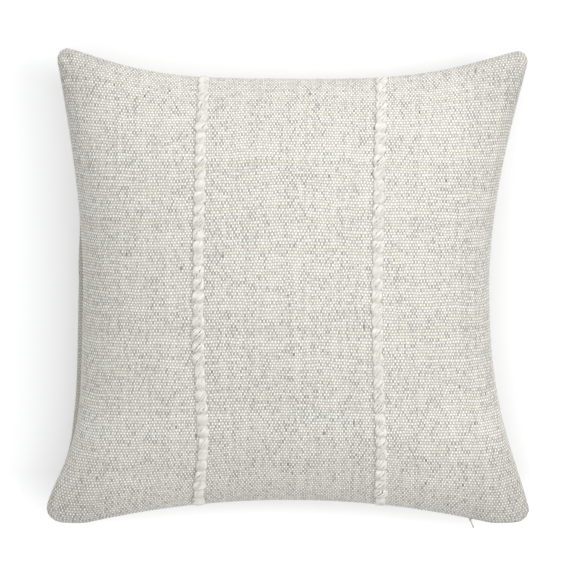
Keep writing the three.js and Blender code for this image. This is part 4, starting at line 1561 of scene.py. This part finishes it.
@dataclass
class Insert:
    """The filled insert: two casing panels round one body of fibre."""

    form: PillowForm
    drape: Drape
    finishes: Finishes
    inset: float = 16 * MM
    under: float = 2.6 * MM
    casing: float = 0.6 * MM
    gap: float = 0.6 * MM
    seam: float = 0.2 * MM
    pucker: float = 0.5 * MM
    half_span: float = 0.236
    lines: int = 121
    seed: int = 8

    def layer(self, face: Face, inset: float, under: float, base: float) -> np.ndarray:
        """A copy of the cover's face, drawn in all round and sunk below it."""
        at = np.linspace(-1, 1, self.lines)
        grid = self.drape.read(face, at, at)
        rng = np.random.default_rng(self.seed + face.value)
        tall = (self.form.front_crown if face is Face.FRONT else self.form.seam_height) + 2 * MM
        lift = face.value * (grid[..., 2] - self.form.seam_height)
        share = np.clip(lift / tall, 0, 1)
        # Puckers run in from the seam and die away up the slope.
        pucker = noise_field(rng, self.lines, self.lines, 40) * self.pucker
        pucker *= smooth_step(share * 6) * (1 - smooth_step(share * 1.6))
        lift = base * (1 - share) ** 12 + np.maximum(lift - under * share - np.abs(pucker), 0)
        draw = 1.0 - inset / self.half_span
        out = grid.copy()
        middle = self.form.point(face, np.zeros(1), np.zeros(1))[0]
        out[..., :2] = middle[:2] + (grid[..., :2] - middle[:2]) * draw
        out[..., 2] = self.form.seam_height + face.value * lift
        return out

    def shell(self, face: Face, name: str, node: str) -> None:
        """Makes one casing panel as a closed shell."""
        n = self.lines
        outer = self.layer(face, self.inset, self.under, self.seam)
        inner = self.layer(face, self.inset + self.casing, self.under + self.casing, self.seam + self.casing)
        points = np.concatenate([outer.reshape(-1, 3), inner.reshape(-1, 3)])
        threads = np.linspace(0, 900, n)
        uv = grid_uv(threads, threads, 2)
        made = build_mesh(name, points, shell_faces(n, n), uv, flip=face is Face.BACK)
        hand_over(made, node, self.finishes.cotton)

    def fill(self) -> None:
        """Makes the body of fibre, lumpy and closed all round."""
        n = self.lines
        extra = self.casing + self.gap
        top = self.layer(Face.FRONT, self.inset + extra, self.under + extra, 0.0)
        low = self.layer(Face.BACK, self.inset + extra, self.under + extra, 0.0)
        ring, _ = ring_indices(n, n)
        middle = (top.reshape(-1, 3)[ring] + low.reshape(-1, 3)[ring]) / 2
        top.reshape(-1, 3)[ring] = middle
        ids = n * n + np.arange(n * n)
        ids[ring] = ring
        faces = [grid_quads(n, n), ids[grid_quads(n, n)][:, ::-1]]
        points = np.concatenate([top.reshape(-1, 3), low.reshape(-1, 3)])
        used = np.unique(np.concatenate([each.ravel() for each in faces]))
        new = np.zeros(len(points), int)
        new[used] = np.arange(len(used))
        clumps = np.linspace(0, 60, n)
        uv = grid_uv(clumps, clumps, 2)[used]
        made = build_mesh("fibre_filling", points[used], [new[each] for each in faces], uv)
        hand_over(made, "insert_filling", self.finishes.fibre)

    def build(self) -> None:
        """Makes the casing and the filling."""
        self.shell(Face.FRONT, "casing_front_panel", "insert_casing_front")
        self.shell(Face.BACK, "casing_back_panel", "insert_casing_back")
        self.fill()


@dataclass
class CareLabel:
    """A blank folded tape sewn into the left seam."""

    form: PillowForm
    finishes: Finishes
    length: float = 36 * MM
    reach: float = 7.5 * MM
    thick: float = 0.15 * MM
    fold: float = 0.13 * MM
    inset: float = 4.8 * MM
    drop: float = 2.6 * MM
    along: float = -0.45

    def build(self) -> None:
        """Makes the folded tape and gives it to the frame."""
        rows, cols = 25, 25
        loop = np.linspace(0, 1, cols)
        # Out from the seam, round the fold and back.
        x = self.reach * (1 - np.abs(2 * loop - 1) ** 1.6)
        z = self.fold * np.tanh((loop - 0.5) * 9)
        edge = self.form.plan(np.array([-1.0]), np.array([self.along]), self.inset)[0]
        y = np.linspace(-0.5, 0.5, rows) * self.length
        lift = self.form.seam_height - self.drop
        spots = (edge[0] + x[None, :], edge[1] + y[:, None], lift + z[None, :])
        grid = np.stack(np.broadcast_arrays(*spots), axis=-1)
        normal = grid_normals(grid)
        sides = [grid + normal * self.thick / 2, grid - normal * self.thick / 2]
        uv = grid_uv(np.arange(cols) * 3.0, np.arange(rows) * 6.0, 2)
        points = np.concatenate([side.reshape(-1, 3) for side in sides])
        made = build_mesh("blank_care_label", points, shell_faces(rows, cols), uv)
        hand_over(made, "care_label", self.finishes.cotton)


# ------------------------------------------------------------------ the room
Triple = tuple[float, float, float]


@dataclass
class Studio:
    """A white table under soft light, seen from straight above."""

    seam_height: float
    camera_height: float = 2.5
    view_width: float = 0.5990
    shift: tuple[float, float] = (-0.0005, -0.0025)
    # Where the table's painted light rises past the near edge, and its even and raised glow.
    painted_light_from: float = -0.20
    painted_light_to: float = -0.26
    glow: float = 0.3
    painted_light_glow: float = 0.52
    table: float = 6.0
    room_light: float = 0.51
    sensor: float = 36.0

    def floor(self) -> None:
        """Lays the pale table under the pillow."""
        corners = np.array([[-1, -1, 0], [1, -1, 0], [1, 1, 0], [-1, 1, 0]]) * self.table
        made = build_mesh("table", corners, [np.array([[0, 1, 2, 3]])])
        material = bpy.data.materials.new("white_table")
        material.use_nodes = True
        shader = material.node_tree.nodes["Principled BSDF"]
        shader.inputs["Base Color"].default_value = (0.6, 0.6, 0.603, 1)
        shader.inputs["Roughness"].default_value = 0.9
        shader.inputs["Specular IOR Level"].default_value = 0.0
        shader.inputs["Emission Color"].default_value = (1, 1, 1, 1)
        n = Nodes(material.node_tree)
        # Painted light: the table glows evenly, and more strongly past the pillow's near edge, which lifts
        # the shadow cast there.
        place = n.add("ShaderNodeSeparateXYZ", {0: n.add("ShaderNodeTexCoord").outputs["Object"]})
        given = (place.outputs["Y"], self.painted_light_from, self.painted_light_to, self.glow, self.painted_light_glow)
        strength = n.add("ShaderNodeMapRange", dict(enumerate(given))).outputs[0]
        n.put(shader.inputs["Emission Strength"], strength)
        made.data.materials.append(material)

    def light(self, name: str, place: Triple, size: float, power: float, color: Triple) -> None:
        """Adds a square area light that faces the pillow."""
        data = bpy.data.lights.new(name, "AREA")
        data.energy, data.size, data.color = power, size, color
        made = bpy.data.objects.new(name, data)
        made.location = place
        made.rotation_euler = (-Vector(place)).to_track_quat("-Z", "Y").to_euler()
        bpy.context.scene.collection.objects.link(made)

    def build(self) -> None:
        """Makes the floor, the lights, the surroundings and the camera."""
        self.floor()
        self.light("key", (1.25, 0.3, 1.95), 0.8, 16.5, (1.0, 0.995, 0.985))
        self.light("far_side", (0.1, 3.0, 0.9), 1.6, 34.0, (1.0, 1.0, 0.995))
        self.light("overhead", (0.0, 0.0, 2.9), 2.6, 50.0, (0.99, 0.995, 1.0))
        scene = bpy.context.scene
        world = bpy.data.worlds.new("studio")
        world.use_nodes = True
        background = world.node_tree.nodes["Background"]
        background.inputs["Color"].default_value = (0.98, 0.99, 1.0, 1)
        background.inputs["Strength"].default_value = self.room_light
        scene.world = world
        data = bpy.data.cameras.new("camera")
        data.sensor_width = self.sensor
        data.lens = self.sensor * (self.camera_height - self.seam_height) / self.view_width
        camera = bpy.data.objects.new("camera", data)
        camera.location = (self.shift[0], self.shift[1], self.camera_height)
        scene.collection.objects.link(camera)
        scene.camera = camera
        scene.view_settings.view_transform = "Standard"
        scene.view_settings.look = "None"


def main() -> None:
    """Builds the whole pillow in order."""
    logging.basicConfig(level=logging.INFO, format="%(name)s: %(message)s")
    form = PillowForm()
    finishes = Finishes()
    sweep = sweep_tree()
    Studio(form.seam_height).build()
    drape = Drape(form)
    drape.run()
    Cover(form, drape, finishes).build()
    for side, place, seed in (("left", -0.360, 21), ("right", 0.372, 34)):
        stripe = RovingStripe(drape, finishes, sweep, place=place, seed=seed)
        stripe.build(f"roving_bundle_{side}", f"roving_stripe_{side}")
    repeat = repeat_tree()
    Stitching(form, finishes, repeat).build()
    ZipFastener(form, finishes, repeat).build()
    Insert(form, drape, finishes).build()
    CareLabel(form, finishes).build()


if __name__ == "__main__":
    main()
